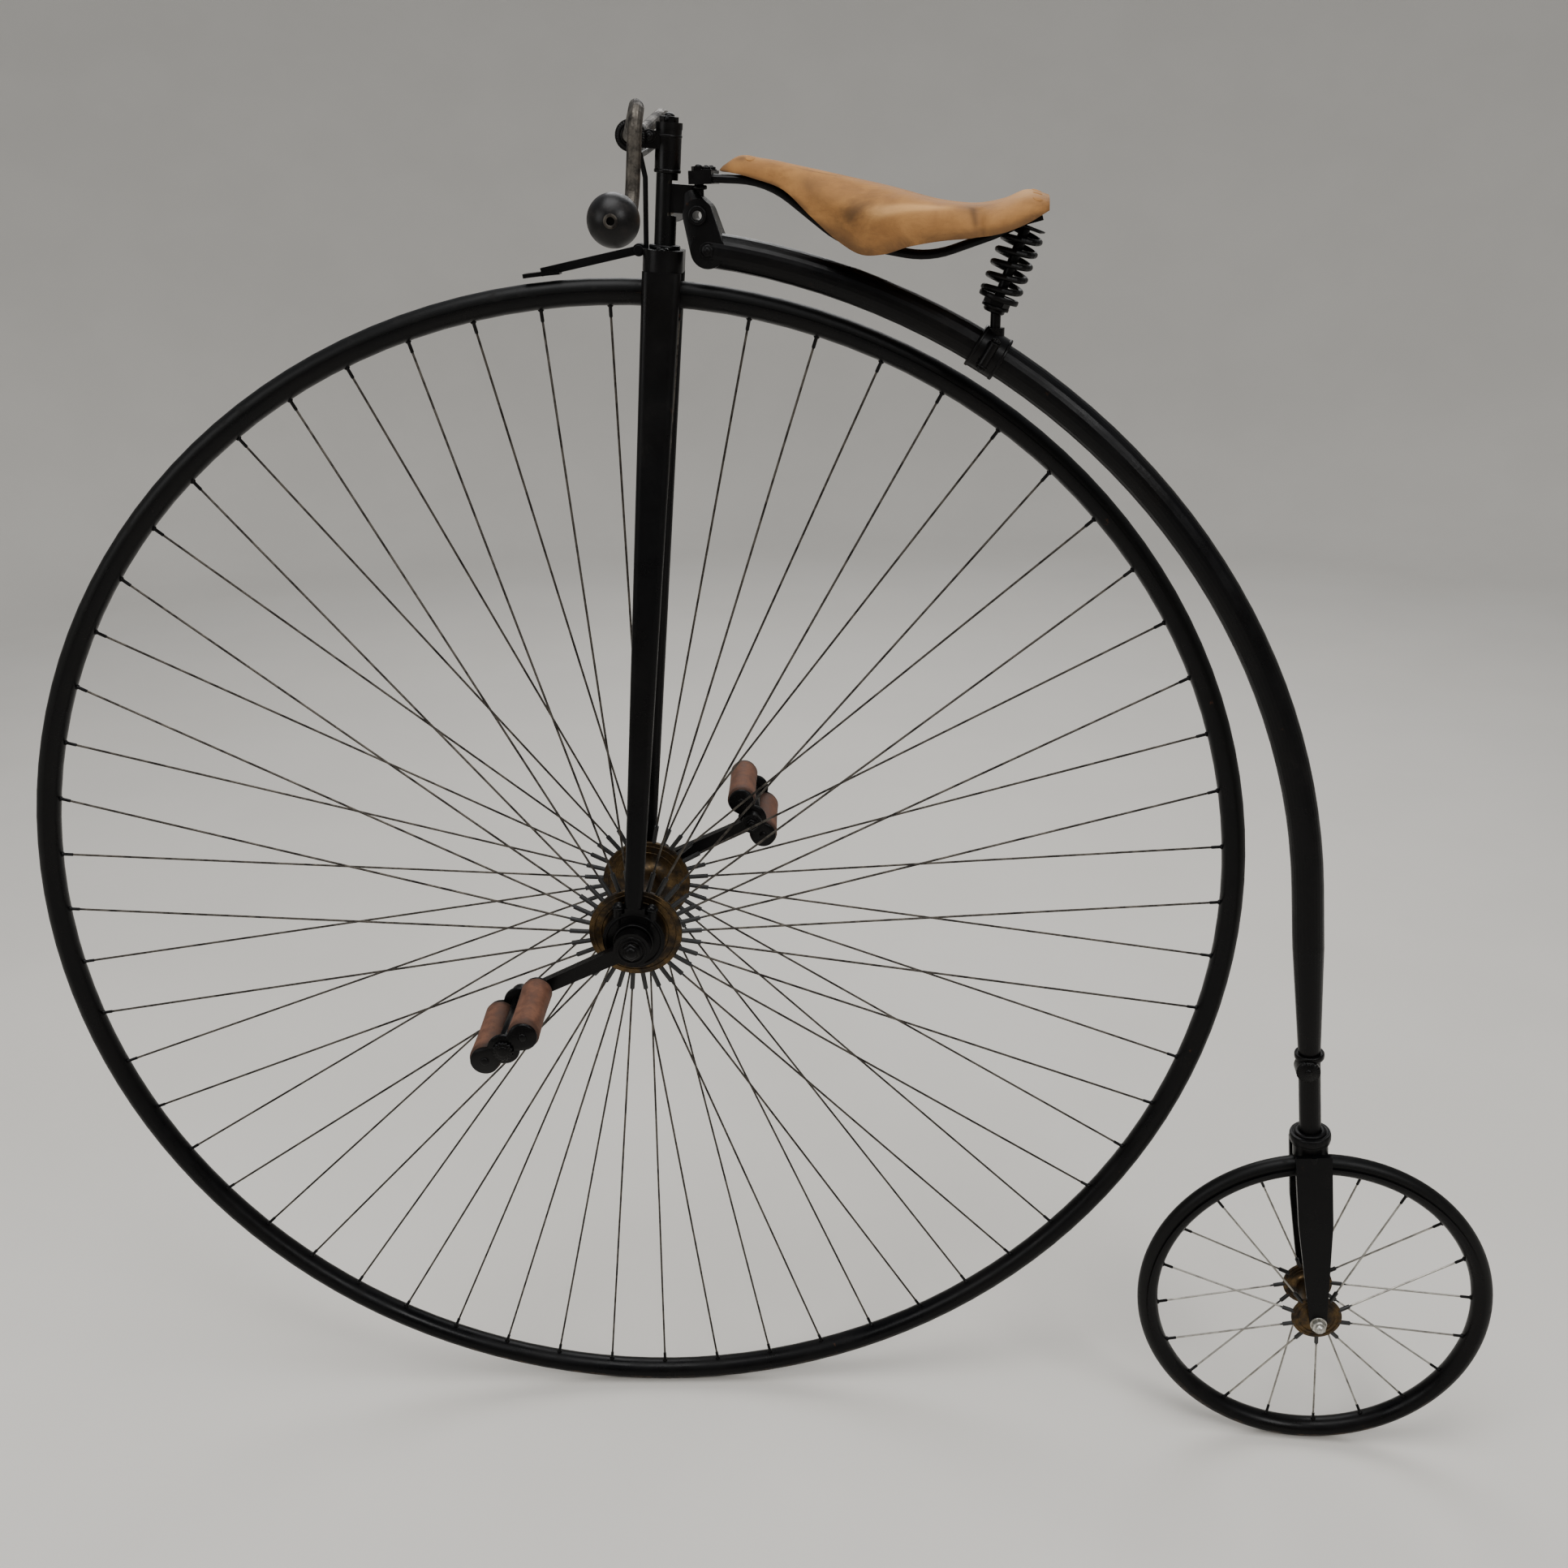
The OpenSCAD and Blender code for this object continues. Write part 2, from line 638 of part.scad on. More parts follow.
// Half-sections of a tyre and of the channel rim that holds it
module tyre_section(r, t) { translate([r - t / 2, 0]) circle(d = t); }
module rim_section(r, t) {
    difference() {
        intersection() {
            translate([r - t / 2 - 1, 0]) circle(d = t + 6);
            translate([r - t - 8, -t]) square([t / 2 + 7, 2 * t]);
        }
        tyre_section(r, t);
    }
}

module front_tyre() { color(rubber) steered() ring_y() tyre_section(front_r, front_tyre_t); }
module front_rim() { color(enamel) steered() ring_y() rim_section(front_r, front_tyre_t); }
module rear_tyre() { color(rubber) tailed() ring_y() tyre_section(rear_r, rear_tyre_t); }
module rear_rim() { color(enamel) tailed() ring_y() rim_section(rear_r, rear_tyre_t); }

// Hub with a waisted barrel: place of the flanges, their radius and thickness, radius of the barrel
module hub_body(y, r, t, barrel) {
    inner = y - t / 2;
    cove = min(inner, r - barrel) * 0.5;
    ring_y() difference() {
        translate([0, -y - t / 2]) square([r, 2 * y + t]);
        translate([barrel, cove - inner]) square([r, 2 * (inner - cove)]);
        translate([barrel + cove, -inner]) square([r, 2 * inner]);
        for (side = [-1, 1]) translate([barrel + cove, side * (inner - cove)]) circle(r = cove);
    }
}

module front_hub() {
    color(brass) steered() difference() {
        hub_body(flange_y, flange_r, flange_t, hub_barrel_r);
        along_y(axle_r, -80, 80);
    }
}

module front_axle() { color(dark_steel) steered() along_y(axle_r, -crank_out - 4, crank_out + 4); }

module rear_hub() {
    color(brass) tailed() difference() {
        hub_body(rear_flange_y, rear_flange_r, 4, 13);
        along_y(rear_axle_r + fit, -40, 40);
    }
}

// One spoke from a flange to the middle of the rim, thicker where it screws into the flange
module spoke(y, r1, r2, d) {
    lean = atan2(y, r2 - r1);
    length = norm([y, r2 - r1]);
    translate([0, y, r1]) rotate([lean, 0, 0]) {
        cylinder(d = d, h = length, $fn = 16);
        cylinder(d = d * 2.2, h = length * 0.025 + 10, $fn = 16);
    }
}

// Half the spokes of a wheel: n of them on one flange, turned by an offset
module spokes(n, offset, y, r1, r2, d) {
    for (i = [0 : n - 1]) rotate([0, offset + i * 360 / n, 0]) spoke(y, r1, r2, d);
}

first_spoke = -1.5;      // angle of a left spoke from the steering axis
front_half = front_spoke_count / 2;
rear_half = rear_spoke_count / 2;
module front_spokes(side) {
    color(dark_steel) steered()
        spokes(front_half, first_spoke + (side > 0 ? 0 : 180 / front_half), side * flange_y, flange_r - 3,
            front_r - front_tyre_t - 2.5, 2.4);
}
module front_spokes_left() { front_spokes(1); }
module front_spokes_right() { front_spokes(-1); }
module rear_spokes() {
    color(zinc) tailed() for (side = [-1, 1])
        spokes(rear_half, side > 0 ? 0 : 180 / rear_half, side * rear_flange_y, rear_flange_r - 2,
            rear_r - rear_tyre_t - 2.5, 2.2);
}

// ---- Cranks and pedals ----

module crank(side) {
    color(enamel) cranked(side) scale_side(side) difference() {
        union() {
            along_y(20, crank_in, crank_out);
            hull() {
                along_y(8.5, crank_in + 1, crank_out - 1, $fn = 32);
                translate([crank_length, 0, 0]) along_y(7, crank_in + 1, crank_out - 1, $fn = 32);
            }
            translate([crank_length, 0, 0]) along_y(12, crank_in, crank_out);
        }
        along_y(axle_r, 50, 150);
    }
    color(dark_steel) cranked(side) scale_side(side) translate([crank_length, 0, 0])
        along_y(pin_r, crank_in + 3, pedal_in + pedal_length - 1);
}
module crank_left() { crank(1); }
module crank_right() { crank(-1); }

pin_r = 5;
plate_t = 4;
block_gap = 25;         // from the spindle to the middle of a block
pedal_length = block_length + 2 * plate_t;

// An oval plate across both blocks
module pedal_plate(y) {
    hull() for (x = [-1, 1]) translate([x * block_gap, 0, 0]) along_y(block_d / 2 - 3, y, y + plate_t, $fn = 32);
}

module pedal_plates(side) {
    color(enamel) pedalled(side) difference() {
        union() {
            pedal_plate(0);
            pedal_plate(pedal_length - plate_t);
            along_y(8, 0, pedal_length + 6);
        }
        along_y(pin_r + fit, -1, pedal_length + 1);
    }
}
module pedal_plates_left() { pedal_plates(1); }
module pedal_plates_right() { pedal_plates(-1); }

module pedal_blocks(side) {
    color(block_brown) pedalled(side)
        for (x = [-1, 1]) translate([x * block_gap, 0, 0]) difference() {
            along_y(block_d / 2 - 0.2, plate_t, pedal_length - plate_t);
            translate([-x * block_gap, 0, 0]) along_y(8, 0, pedal_length);
        }
}
module pedal_blocks_left() { pedal_blocks(1); }
module pedal_blocks_right() { pedal_blocks(-1); }

backbone();
neck();
steering_spindle();
rear_fork();
rear_axle();
mounting_step();
saddle_front_post();
saddle_clip();
saddle_rails();
saddle_cantle_plate();
saddle_coil_spring();
saddle_rear_post();
saddle_clamp();
saddle_leather();
head();
head_cap();
fork_crown();
fork_blade_left();
fork_blade_right();
bearing_housing_left();
bearing_housing_right();
handlebar();
handlebar_lug();
grip_left();
grip_right();
brake_lever();
brake_rod();
brake_spoon();
front_tyre();
front_rim();
front_hub();
front_axle();
front_spokes_left();
front_spokes_right();
crank_left();
crank_right();
pedal_plates_left();
pedal_blocks_left();
pedal_plates_right();
pedal_blocks_right();
rear_tyre();
rear_rim();
rear_hub();
rear_spokes();
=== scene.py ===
"""High-wheel bicycle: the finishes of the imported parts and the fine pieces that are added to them.

Lengths in the classes are millimetres in the bicycle's own frames and become metres in the meshes.
"""
import json
import logging
import math
from dataclasses import dataclass, field
from enum import Enum
from typing import Iterator, Sequence

import bpy
import numpy as np
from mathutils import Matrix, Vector


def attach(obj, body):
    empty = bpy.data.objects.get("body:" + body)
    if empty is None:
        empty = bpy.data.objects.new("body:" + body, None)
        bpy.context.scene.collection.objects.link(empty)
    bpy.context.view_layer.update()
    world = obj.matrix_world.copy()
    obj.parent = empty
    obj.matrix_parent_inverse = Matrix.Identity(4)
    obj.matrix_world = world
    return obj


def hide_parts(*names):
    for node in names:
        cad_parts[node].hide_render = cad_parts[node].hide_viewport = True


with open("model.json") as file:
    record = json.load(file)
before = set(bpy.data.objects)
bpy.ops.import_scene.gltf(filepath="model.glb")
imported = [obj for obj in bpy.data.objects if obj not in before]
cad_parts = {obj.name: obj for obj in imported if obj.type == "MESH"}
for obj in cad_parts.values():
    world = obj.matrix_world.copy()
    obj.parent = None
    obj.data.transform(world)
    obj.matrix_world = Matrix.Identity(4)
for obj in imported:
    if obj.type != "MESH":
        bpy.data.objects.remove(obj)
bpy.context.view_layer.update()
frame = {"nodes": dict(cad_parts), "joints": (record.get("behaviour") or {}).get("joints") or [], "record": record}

log = logging.getLogger("high_wheel_bicycle")

Socket = bpy.types.NodeSocket
Piece = bpy.types.Object

MM = 0.001
TURN = 2 * math.pi


# ---- Numbers and frames ----

def linear_from_hex(code: str) -> tuple[float, float, float, float]:
    """Turn an sRGB hex colour into the linear RGBA that Blender's sockets take.

    Args:
        code: six hex digits, with or without a leading #.

    Returns:
        Linear red, green, blue and an alpha of one.
    """
    code = code.lstrip("#")
    srgb = np.array([int(code[i:i + 2], 16) / 255 for i in (0, 2, 4)])
    low, high = srgb / 12.92, ((srgb + 0.055) / 1.055) ** 2.4
    return (*np.where(srgb <= 0.04045, low, high).tolist(), 1.0)


def unit(vector: Sequence[float]) -> np.ndarray:
    """Return the vector at length one."""
    vector = np.asarray(vector, float)
    return vector / np.linalg.norm(vector)


@dataclass(frozen=True)
class Place:
    """A right-handed frame: an origin in metres and three axes as the columns of a matrix."""

    origin: np.ndarray
    axes: np.ndarray

    def point(self, local: np.ndarray) -> np.ndarray:
        """Return points in millimetres of this frame as metres of the bicycle's, in the same shape."""
        return self.origin + np.asarray(local, float) * MM @ self.axes.T

    def moved(self, x: float, y: float, z: float) -> "Place":
        """Return the same axes at a place given in this frame's millimetres."""
        return Place(self.point(np.array([x, y, z])), self.axes)

    def turned_y(self, degrees: float) -> "Place":
        """Return this frame turned about its own y axis, x towards minus z for a positive angle."""
        c, s = math.cos(math.radians(degrees)), math.sin(math.radians(degrees))
        return Place(self.origin, self.axes @ np.array([[c, 0, s], [0, 1, 0], [-s, 0, c]]))


def joint_named(name: str) -> dict:
    """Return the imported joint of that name."""
    return next(j for j in frame["joints"] if j["name"] == name)


def pointing_place(origin: np.ndarray, z: np.ndarray, y: Sequence[float] = (0.0, 1.0, 0.0)) -> Place:
    """Return a frame at a point in metres, z along one direction and y as near to another as it can be."""
    z = unit(z)
    x = unit(np.cross(y, z))
    return Place(np.asarray(origin, float), np.column_stack([x, np.cross(z, x), z]))


def steered_place() -> Place:
    """Return the fork's frame: origin at the front axle, y along it to the left, z up the steering axis."""
    spin = joint_named("front_wheel_spin")
    return pointing_place(spin["pos_m"], joint_named("steering")["axis"], spin["axis"])


def upright_place(origin: np.ndarray) -> Place:
    """Return a frame at a point in metres whose axes are the bicycle's own."""
    return Place(np.asarray(origin, float), np.eye(3))


def smooth_step(t: np.ndarray) -> np.ndarray:
    """Return 3t^2 - 2t^3, with t held between 0 and 1."""
    t = np.clip(t, 0, 1)
    return t * t * (3 - 2 * t)


def hump(x: np.ndarray, middle: float, half: float) -> np.ndarray:
    """Return exp(-((x - middle) / half)^2), which is one at the middle and dies away on both sides."""
    return np.exp(-((x - middle) / half) ** 2)


def smooth_line(knots: Sequence[tuple[float, float]], at: np.ndarray) -> np.ndarray:
    """Evaluate a smooth line through a few points.

    The slope at each inner point is that of its two neighbours, and between two points the line is the cubic
    with those slopes and heights at its ends.

    Args:
        knots: pairs of place and height, in order of place.
        at: the places to evaluate.

    Returns:
        The heights there.
    """
    x, y = np.array(knots, float).T
    slope = np.gradient(y, x)
    i = np.clip(np.searchsorted(x, at) - 1, 0, len(x) - 2)
    h = x[i + 1] - x[i]
    t = np.clip((at - x[i]) / h, 0, 1)
    h00, h10 = 2 * t**3 - 3 * t**2 + 1, t**3 - 2 * t**2 + t
    return h00 * y[i] + h10 * h * slope[i] + (1 - h00) * y[i + 1] + (t**3 - t**2) * h * slope[i + 1]


# ---- Meshes ----

def add_mesh(name: str, points: np.ndarray, faces: Sequence[Sequence[int]]) -> Piece:
    """Make a smoothly shaded object at the origin from points in metres and faces.

    Args:
        name: the object's name.
        points: an array of points.
        faces: corner numbers of each face.

    Returns:
        The new object, linked to the scene.
    """
    mesh = bpy.data.meshes.new(name)
    mesh.from_pydata(points.reshape(-1, 3).tolist(), [], [list(map(int, f)) for f in faces])
    mesh.polygons.foreach_set("use_smooth", np.full(len(mesh.polygons), True))
    mesh.update()
    made = bpy.data.objects.new(name, mesh)
    bpy.context.scene.collection.objects.link(made)
    return made


def grid_faces(rows: int, columns: int, wrap_rows: bool = False, wrap_columns: bool = True) -> np.ndarray:
    """Return the four-sided faces of a grid of points kept row by row.

    Args:
        rows: the number of rows.
        columns: the number of points in a row.
        wrap_rows: whether the last row joins the first.
        wrap_columns: whether the last point of a row joins its first.

    Returns:
        An array of corner numbers, four to a face.
    """
    i = np.arange(rows if wrap_rows else rows - 1)[:, None]
    j = np.arange(columns if wrap_columns else columns - 1)[None, :]
    i2, j2 = (i + 1) % rows, (j + 1) % columns
    corners = [i * columns + j, i * columns + j2, i2 * columns + j2, i2 * columns + j]
    return np.stack([np.broadcast_to(c, (i.size, j.size)) for c in corners], -1).reshape(-1, 4)


class Lathe:
    """Joined turned shapes: each is a profile of radius and place along an axis, carried round that axis."""

    def __init__(self, sides: int = 40) -> None:
        """Start with no shapes and a number of sides for each."""
        self.sides = sides
        self.points: list[np.ndarray] = []
        self.faces: list[list[int]] = []
        self.count = 0

    def turn(self, place: Place, profile: Sequence[tuple[float, float]], sides: int | None = None,
             phase: float = 0.0, outline: np.ndarray | None = None) -> "Lathe":
        """Add one closed shape turned about the place's z axis.

        Point (r, h) of the profile becomes (q cos a, q sin a, h) for each side's angle a, where q is r, or r
        added to the outline's radius at a. The profile starts and ends on the axis and rises while outside.

        Args:
            place: the frame whose z axis is the shape's axis.
            profile: radius and height of each point, from the bottom pole to the top one.
            sides: the number of sides, the lathe's own if left out.
            phase: turn of the first side, in degrees.
            outline: radii to add at each of the sides, for a shape that isn't round.

        Returns:
            The lathe itself.
        """
        n = sides or (self.sides if outline is None else len(outline))
        a = math.radians(phase) + np.arange(n) * TURN / n
        r, h = np.array(profile[1:-1], float).T
        q = r[:, None] + (np.zeros(n) if outline is None else outline)[None, :]
        rings = np.stack([q * np.cos(a), q * np.sin(a), np.repeat(h[:, None], n, 1)], -1).reshape(-1, 3)
        poles = np.array([[0, 0, profile[0][1]], [0, 0, profile[-1][1]]])
        start, rows = self.count, len(r)
        low, high = start + rows * n, start + rows * n + 1
        self.points.append(place.point(np.vstack([rings, poles])))
        self.faces += (grid_faces(rows, n) + start).tolist()
        k = np.arange(n)
        top = start + (rows - 1) * n
        self.faces += np.stack([start + (k + 1) % n, start + k, np.full(n, low)], 1).tolist()
        self.faces += np.stack([top + k, top + (k + 1) % n, np.full(n, high)], 1).tolist()
        self.count += rows * n + 2
        return self

    def ring(self, place: Place, radius: float, height: float, wide: float, proud: float,
             sides: int | None = None) -> "Lathe":
        """Add a rounded ring about the place's z axis.

        Its section is the superellipse r = radius + proud c^0.7, h = height + wide s^0.7, where c and s are
        the cosine and sine of an angle that goes once round, with their signs kept.

        Args:
            place: the frame whose z axis is the ring's axis.
            radius: distance of the section's middle from the axis.
            height: place of the section's middle along the axis.
            wide: half of the section's size along the axis.
            proud: half of the section's size across it.
            sides: the number of sides, the lathe's own if left out.

        Returns:
            The lathe itself.
        """
        n = sides or self.sides
        b = np.arange(12) * TURN / 12
        c, s = (np.sign(f(b)) * np.abs(f(b)) ** 0.7 for f in (np.cos, np.sin))
        a = np.arange(n) * TURN / n
        r, h = radius + proud * c, height + wide * s
        rings = np.stack([np.outer(r, np.cos(a)), np.outer(r, np.sin(a)), np.repeat(h[:, None], n, 1)], -1)
        self.points.append(place.point(rings.reshape(-1, 3)))
        self.faces += (grid_faces(12, n, wrap_rows=True) + self.count).tolist()
        self.count += 12 * n
        return self

    def object(self, name: str) -> Piece:
        """Make the object of all the shapes so far."""
        return add_mesh(name, np.vstack(self.points), self.faces)


# ---- Node materials ----

class Material:
    """A node material that starts from one Principled shader and grows by small additions."""

    def __init__(self, name: str, rough: float, metal: float = 0.0, **sockets: float) -> None:
        """Make the material and set the shader's own constants.

        Args:
            name: what the finish is.
            rough: the shader's roughness before any pattern.
            metal: the shader's metallic value.
            sockets: other constants, with underscores in the socket names' place of spaces.
        """
        self.material = bpy.data.materials.new(name)
        self.material.use_nodes = True
        self.tree = self.material.node_tree
        self.shader = self.tree.nodes["Principled BSDF"]
        self.shader.inputs["Roughness"].default_value = rough
        self.shader.inputs["Metallic"].default_value = metal
        for key, value in sockets.items():
            self.shader.inputs[key.replace("_", " ")].default_value = value
        self.where = self.node("ShaderNodeTexCoord").outputs["Object"]
        self.normal = None

    def node(self, kind: str, links: dict | None = None, **settings: object) -> bpy.types.Node:
        """Add a node, with its settings and its links or constants.

        Args:
            kind: the node's type.
            links: socket name or number against an output socket or a constant.
            settings: attributes of the node.

        Returns:
            The new node.
        """
        made = self.tree.nodes.new(kind)
        for key, value in settings.items():
            setattr(made, key, value)
        for key, value in (links or {}).items():
            if isinstance(value, Socket):
                self.tree.links.new(value, made.inputs[key])
            else:
                made.inputs[key].default_value = value
        return made

    def noise(self, size_mm: float, detail: float = 4.0, rough: float = 0.55, distort: float = 0.0,
              stretch: Sequence[float] | None = None) -> Socket:
        """Return a noise of patches about size_mm across, longer along an axis whose stretch is over one."""
        where = self.where
        if stretch:
            scale = [1 / s for s in stretch]
            where = self.node("ShaderNodeMapping", {"Vector": where, "Scale": scale}).outputs[0]
        links = {"Vector": where, "Scale": 1 / (size_mm * MM), "Detail": detail, "Roughness": rough,
                 "Distortion": distort}
        return self.node("ShaderNodeTexNoise", links).outputs["Fac"]

    def between(self, value: Socket, low: float, high: float, start: float = 0.0,
                end: float = 1.0) -> Socket:
        """Return value mapped smoothly from low..high to start..end and held there."""
        links = {"Value": value, "From Min": low, "From Max": high, "To Min": start, "To Max": end}
        return self.node("ShaderNodeMapRange", links, interpolation_type="SMOOTHSTEP").outputs[0]

    def times(self, a: Socket, b: object, operation: str = "MULTIPLY") -> Socket:
        """Return a and b joined by a maths operation, held between 0 and 1."""
        return self.node("ShaderNodeMath", {0: a, 1: b}, operation=operation, use_clamp=True).outputs[0]

    def mix(self, amount: object, first: object, second: object) -> Socket:
        """Return the colour an amount of the way between two colours, each a hex code or a socket."""
        low, high = (linear_from_hex(c) if isinstance(c, str) else c for c in (first, second))
        return self.node("ShaderNodeMix", {0: amount, 6: low, 7: high}, data_type="RGBA").outputs[2]

    def tint(self, amount: Socket, strength: float, over: Socket, colour: str) -> Socket:
        """Return a colour laid over another as far as amount times strength."""
        return self.mix(self.times(amount, strength), over, colour)

    def bump(self, height: Socket, depth_mm: float, strength: float = 1.0) -> None:
        """Add relief of a given depth on top of the relief so far."""
        links = {"Height": height, "Distance": depth_mm * MM, "Strength": strength}
        if self.normal:
            links["Normal"] = self.normal
        self.normal = self.node("ShaderNodeBump", links).outputs[0]

    def axis(self, name: str) -> Socket:
        """Return one of the object coordinates X, Y and Z, in metres."""
        return self.node("ShaderNodeSeparateXYZ", {0: self.where}).outputs[name]

    def attribute(self, name: str) -> Socket:
        """Return a mesh attribute of the piece."""
        return self.node("ShaderNodeAttribute", attribute_name=name).outputs["Fac"]

    def done(self, colour: object, rough: Socket | None = None,
             metal: Socket | None = None) -> bpy.types.Material:
        """Link the pattern into the shader.

        Args:
            colour: the base colour's socket or hex code.
            rough: the roughness's socket, if it varies.
            metal: the metallic value's socket, if it varies.

        Returns:
            The finished material.
        """
        if isinstance(colour, str):
            self.shader.inputs["Base Color"].default_value = linear_from_hex(colour)
        else:
            self.tree.links.new(colour, self.shader.inputs["Base Color"])
        for name, socket in (("Roughness", rough), ("Metallic", metal), ("Normal", self.normal)):
            if socket:
                self.tree.links.new(socket, self.shader.inputs[name])
        return self.material


class Finish(Enum):
    """The finishes of the bicycle, each with the record's slot that it belongs to."""

    ENAMEL = "black_enamel"
    BRASS = "hub_brass"
    TYRE = "tyre_rubber"
    GRIP = "grip_rubber"
    BLOCK = "pedal_rubber"
    STEEL = "bare_steel"
    ZINC = "zinc_steel"
    LEATHER = "saddle_leather"


@dataclass(frozen=True)
class BrushedEnamel:
    """Black gloss enamel brushed on steel over older coats, which gives ripples, pits and few long lights."""

    ripple_mm: float = 9.0
    pit_mm: float = 2.2
    scuff_mm: float = 60.0

    def make(self) -> bpy.types.Material:
        """Return the enamel: deep black, with duller worn patches and a little rust where it is chipped."""
        m = Material("brushed_black_enamel", 0.3, Specular_IOR_Level=0.13)
        patches = m.noise(self.scuff_mm, 5, 0.6)
        pits = m.noise(self.pit_mm, 3, 0.6)
        wear = m.times(m.between(patches, 0.58, 0.72), m.between(pits, 0.42, 0.62))
        chips = m.times(m.between(m.noise(26, 6, 0.7), 0.66, 0.7), m.between(patches, 0.45, 0.6))
        black = m.mix(m.between(m.noise(140, 3), 0.35, 0.7), "#030304", "#070606")
        colour = m.tint(wear, 0.5, black, "#151311")
        colour = m.tint(chips, 0.7, colour, "#3a2416")
        m.bump(m.noise(self.ripple_mm, 2, 0.5), 0.22, 0.6)
        m.bump(pits, 0.09, 0.6)
        return m.done(colour, m.between(patches, 0.3, 0.75, 0.22, 0.46))


@dataclass(frozen=True)
class AgedBrass:
    """Turned yellow brass left to darken: brown olive all over, and bright only where it is rubbed."""

    turn_mm: float = 1.6
    tarnish_mm: float = 17.0

    def make(self) -> bpy.types.Material:
        """Return the brass, with brown tarnish over part of it and fine turned marks."""
        m = Material("tarnished_brass", 0.35, 1.0)
        spots = m.noise(self.tarnish_mm, 6, 0.65)
        fine = m.noise(self.turn_mm, 3)
        tarnish = m.between(spots, 0.36, 0.62)
        colour = m.mix(tarnish, "#57462f", "#211a12")
        colour = m.tint(m.between(fine, 0.5, 0.75), 0.6, colour, "#1d150d")
        m.bump(fine, 0.07, 0.6)
        rough = m.between(spots, 0.35, 0.7, 0.28, 0.5)
        return m.done(colour, rough, m.between(tarnish, 0, 1, 1.0, 0.75))


@dataclass(frozen=True)
class SolidTyre:
    """Vulcanised solid rubber: near black, with a dusty brown bloom where it has stood and rolled."""

    grain_mm: float = 1.3
    low_m: float = -1.449
    dusty_height_m: float = 0.12

    def make(self) -> bpy.types.Material:
        """Return the rubber, browner and paler towards the ground."""
        m = Material("dusty_solid_rubber", 0.5, Specular_IOR_Level=0.15)
        low = m.between(m.axis("Z"), self.low_m, self.low_m + self.dusty_height_m, 1.0, 0.0)
        dirt_and_painted_shade = m.times(low, m.between(m.noise(22, 6, 0.72, 0.4), 0.45, 0.66))
        scuffs = m.between(m.noise(18, 6, 0.7), 0.55, 0.72)
        colour = m.mix(m.times(scuffs, 0.35), "#060606", "#191715")
        colour = m.tint(dirt_and_painted_shade, 0.7, colour, "#4b3a2b")
        m.bump(m.noise(self.grain_mm, 3, 0.7), 0.10, 0.6)
        m.bump(m.noise(14, 3), 0.25, 0.4)
        return m.done(colour, m.between(scuffs, 0, 1, 0.42, 0.66))


@dataclass(frozen=True)
class HandGrip:
    """Turned vulcanite, black with a dull polish, gone a little brown and grey where it is handled."""

    def make(self) -> bpy.types.Material:
        """Return the grip's black, with scratches and pale rubbed patches."""
        m = Material("weathered_vulcanite", 0.5, Specular_IOR_Level=0.2)
        wear_and_painted_highlight = m.between(m.noise(16, 6, 0.7), 0.5, 0.74)
        lines = m.between(m.noise(3, 3, 0.6, 0.8, (1, 6, 1)), 0.6, 0.74)
        colour = m.mix(wear_and_painted_highlight, "#060505", "#1a1614")
        colour = m.tint(lines, 0.35, colour, "#2a2522")
        m.bump(m.noise(1.6, 4, 0.7), 0.12, 0.6)
        return m.done(colour, m.between(wear_and_painted_highlight, 0, 1, 0.36, 0.6))


@dataclass(frozen=True)
class PedalBlock:
    """Moulded brown rubber with a dusty bloom, and painted shade near the plates and in the valley between blocks.
    """

    def make(self) -> bpy.types.Material:
        """Return the brown rubber, mottled and finely grained."""
        m = Material("bloomed_brown_rubber", 0.75, Specular_IOR_Level=0.3)
        mottle = m.noise(13, 6, 0.65)
        marks = m.between(m.noise(5, 5, 0.7), 0.56, 0.7)
        colour = m.mix(m.between(mottle, 0.32, 0.7), "#4d3022", "#6c4836")
        colour = m.tint(marks, 0.55, colour, "#3a271b")
        # painted shade near the plates and in the valley between the blocks, from the mesh attribute
        colour = m.tint(m.attribute("dirt_and_painted_shade"), 0.85, colour, "#1e1510")
        m.bump(m.noise(1.2, 4, 0.75), 0.2, 0.7)
        m.bump(m.noise(9, 3), 0.5, 0.5)
        return m.done(colour, m.between(mottle, 0.3, 0.7, 0.62, 0.82))


@dataclass(frozen=True)
class WornSteel:
    """Drawn steel whose nickel has gone: grey brown, dull, with brighter rubbed spots."""

    dark: str = "#24211f"
    pale: str = "#57524b"
    shine: float = 0.5
    name: str = "worn_bare_steel"

    def pattern(self, m: Material) -> tuple[Socket, Socket]:
        """Add the steel's blotches, streaks and pits.

        Args:
            m: the material to add them to.

        Returns:
            The sockets of the colour and of the roughness.
        """
        blotch = m.noise(15, 6, 0.68)
        pits = m.noise(1.8, 4, 0.7)
        colour = m.mix(m.between(blotch, 0.36, 0.66), self.pale, self.dark)
        colour = m.tint(m.between(pits, 0.55, 0.72), 0.6, colour, "#1c140d")
        m.bump(pits, 0.08, 0.6)
        return colour, m.between(blotch, 0.3, 0.7, self.shine - 0.08, self.shine + 0.2)

    def make(self) -> bpy.types.Material:
        """Return the steel, streaked with brown where the plating is lost."""
        m = Material(self.name, self.shine, 0.9)
        return m.done(*self.pattern(m))


@dataclass(frozen=True)
class SpokeWire(WornSteel):
    """Drawn spoke wire of a wheel, bare along its length and black where it screws into the flange."""

    hub_m: tuple = (0.0, 0.0, 0.0)
    black_to_m: float = 0.08

    def make(self) -> bpy.types.Material:
        """Return the wire's steel, with enamel up to black_to_m from the middle of the hub."""
        m = Material(self.name, self.shine, 0.9)
        colour, rough = self.pattern(m)
        away = m.node("ShaderNodeVectorMath", {0: m.where, 1: self.hub_m}, operation="DISTANCE")
        bare = m.between(away.outputs["Value"], self.black_to_m, self.black_to_m + 0.002)
        return m.done(m.mix(bare, "#070707", colour), rough, m.times(bare, 0.9))


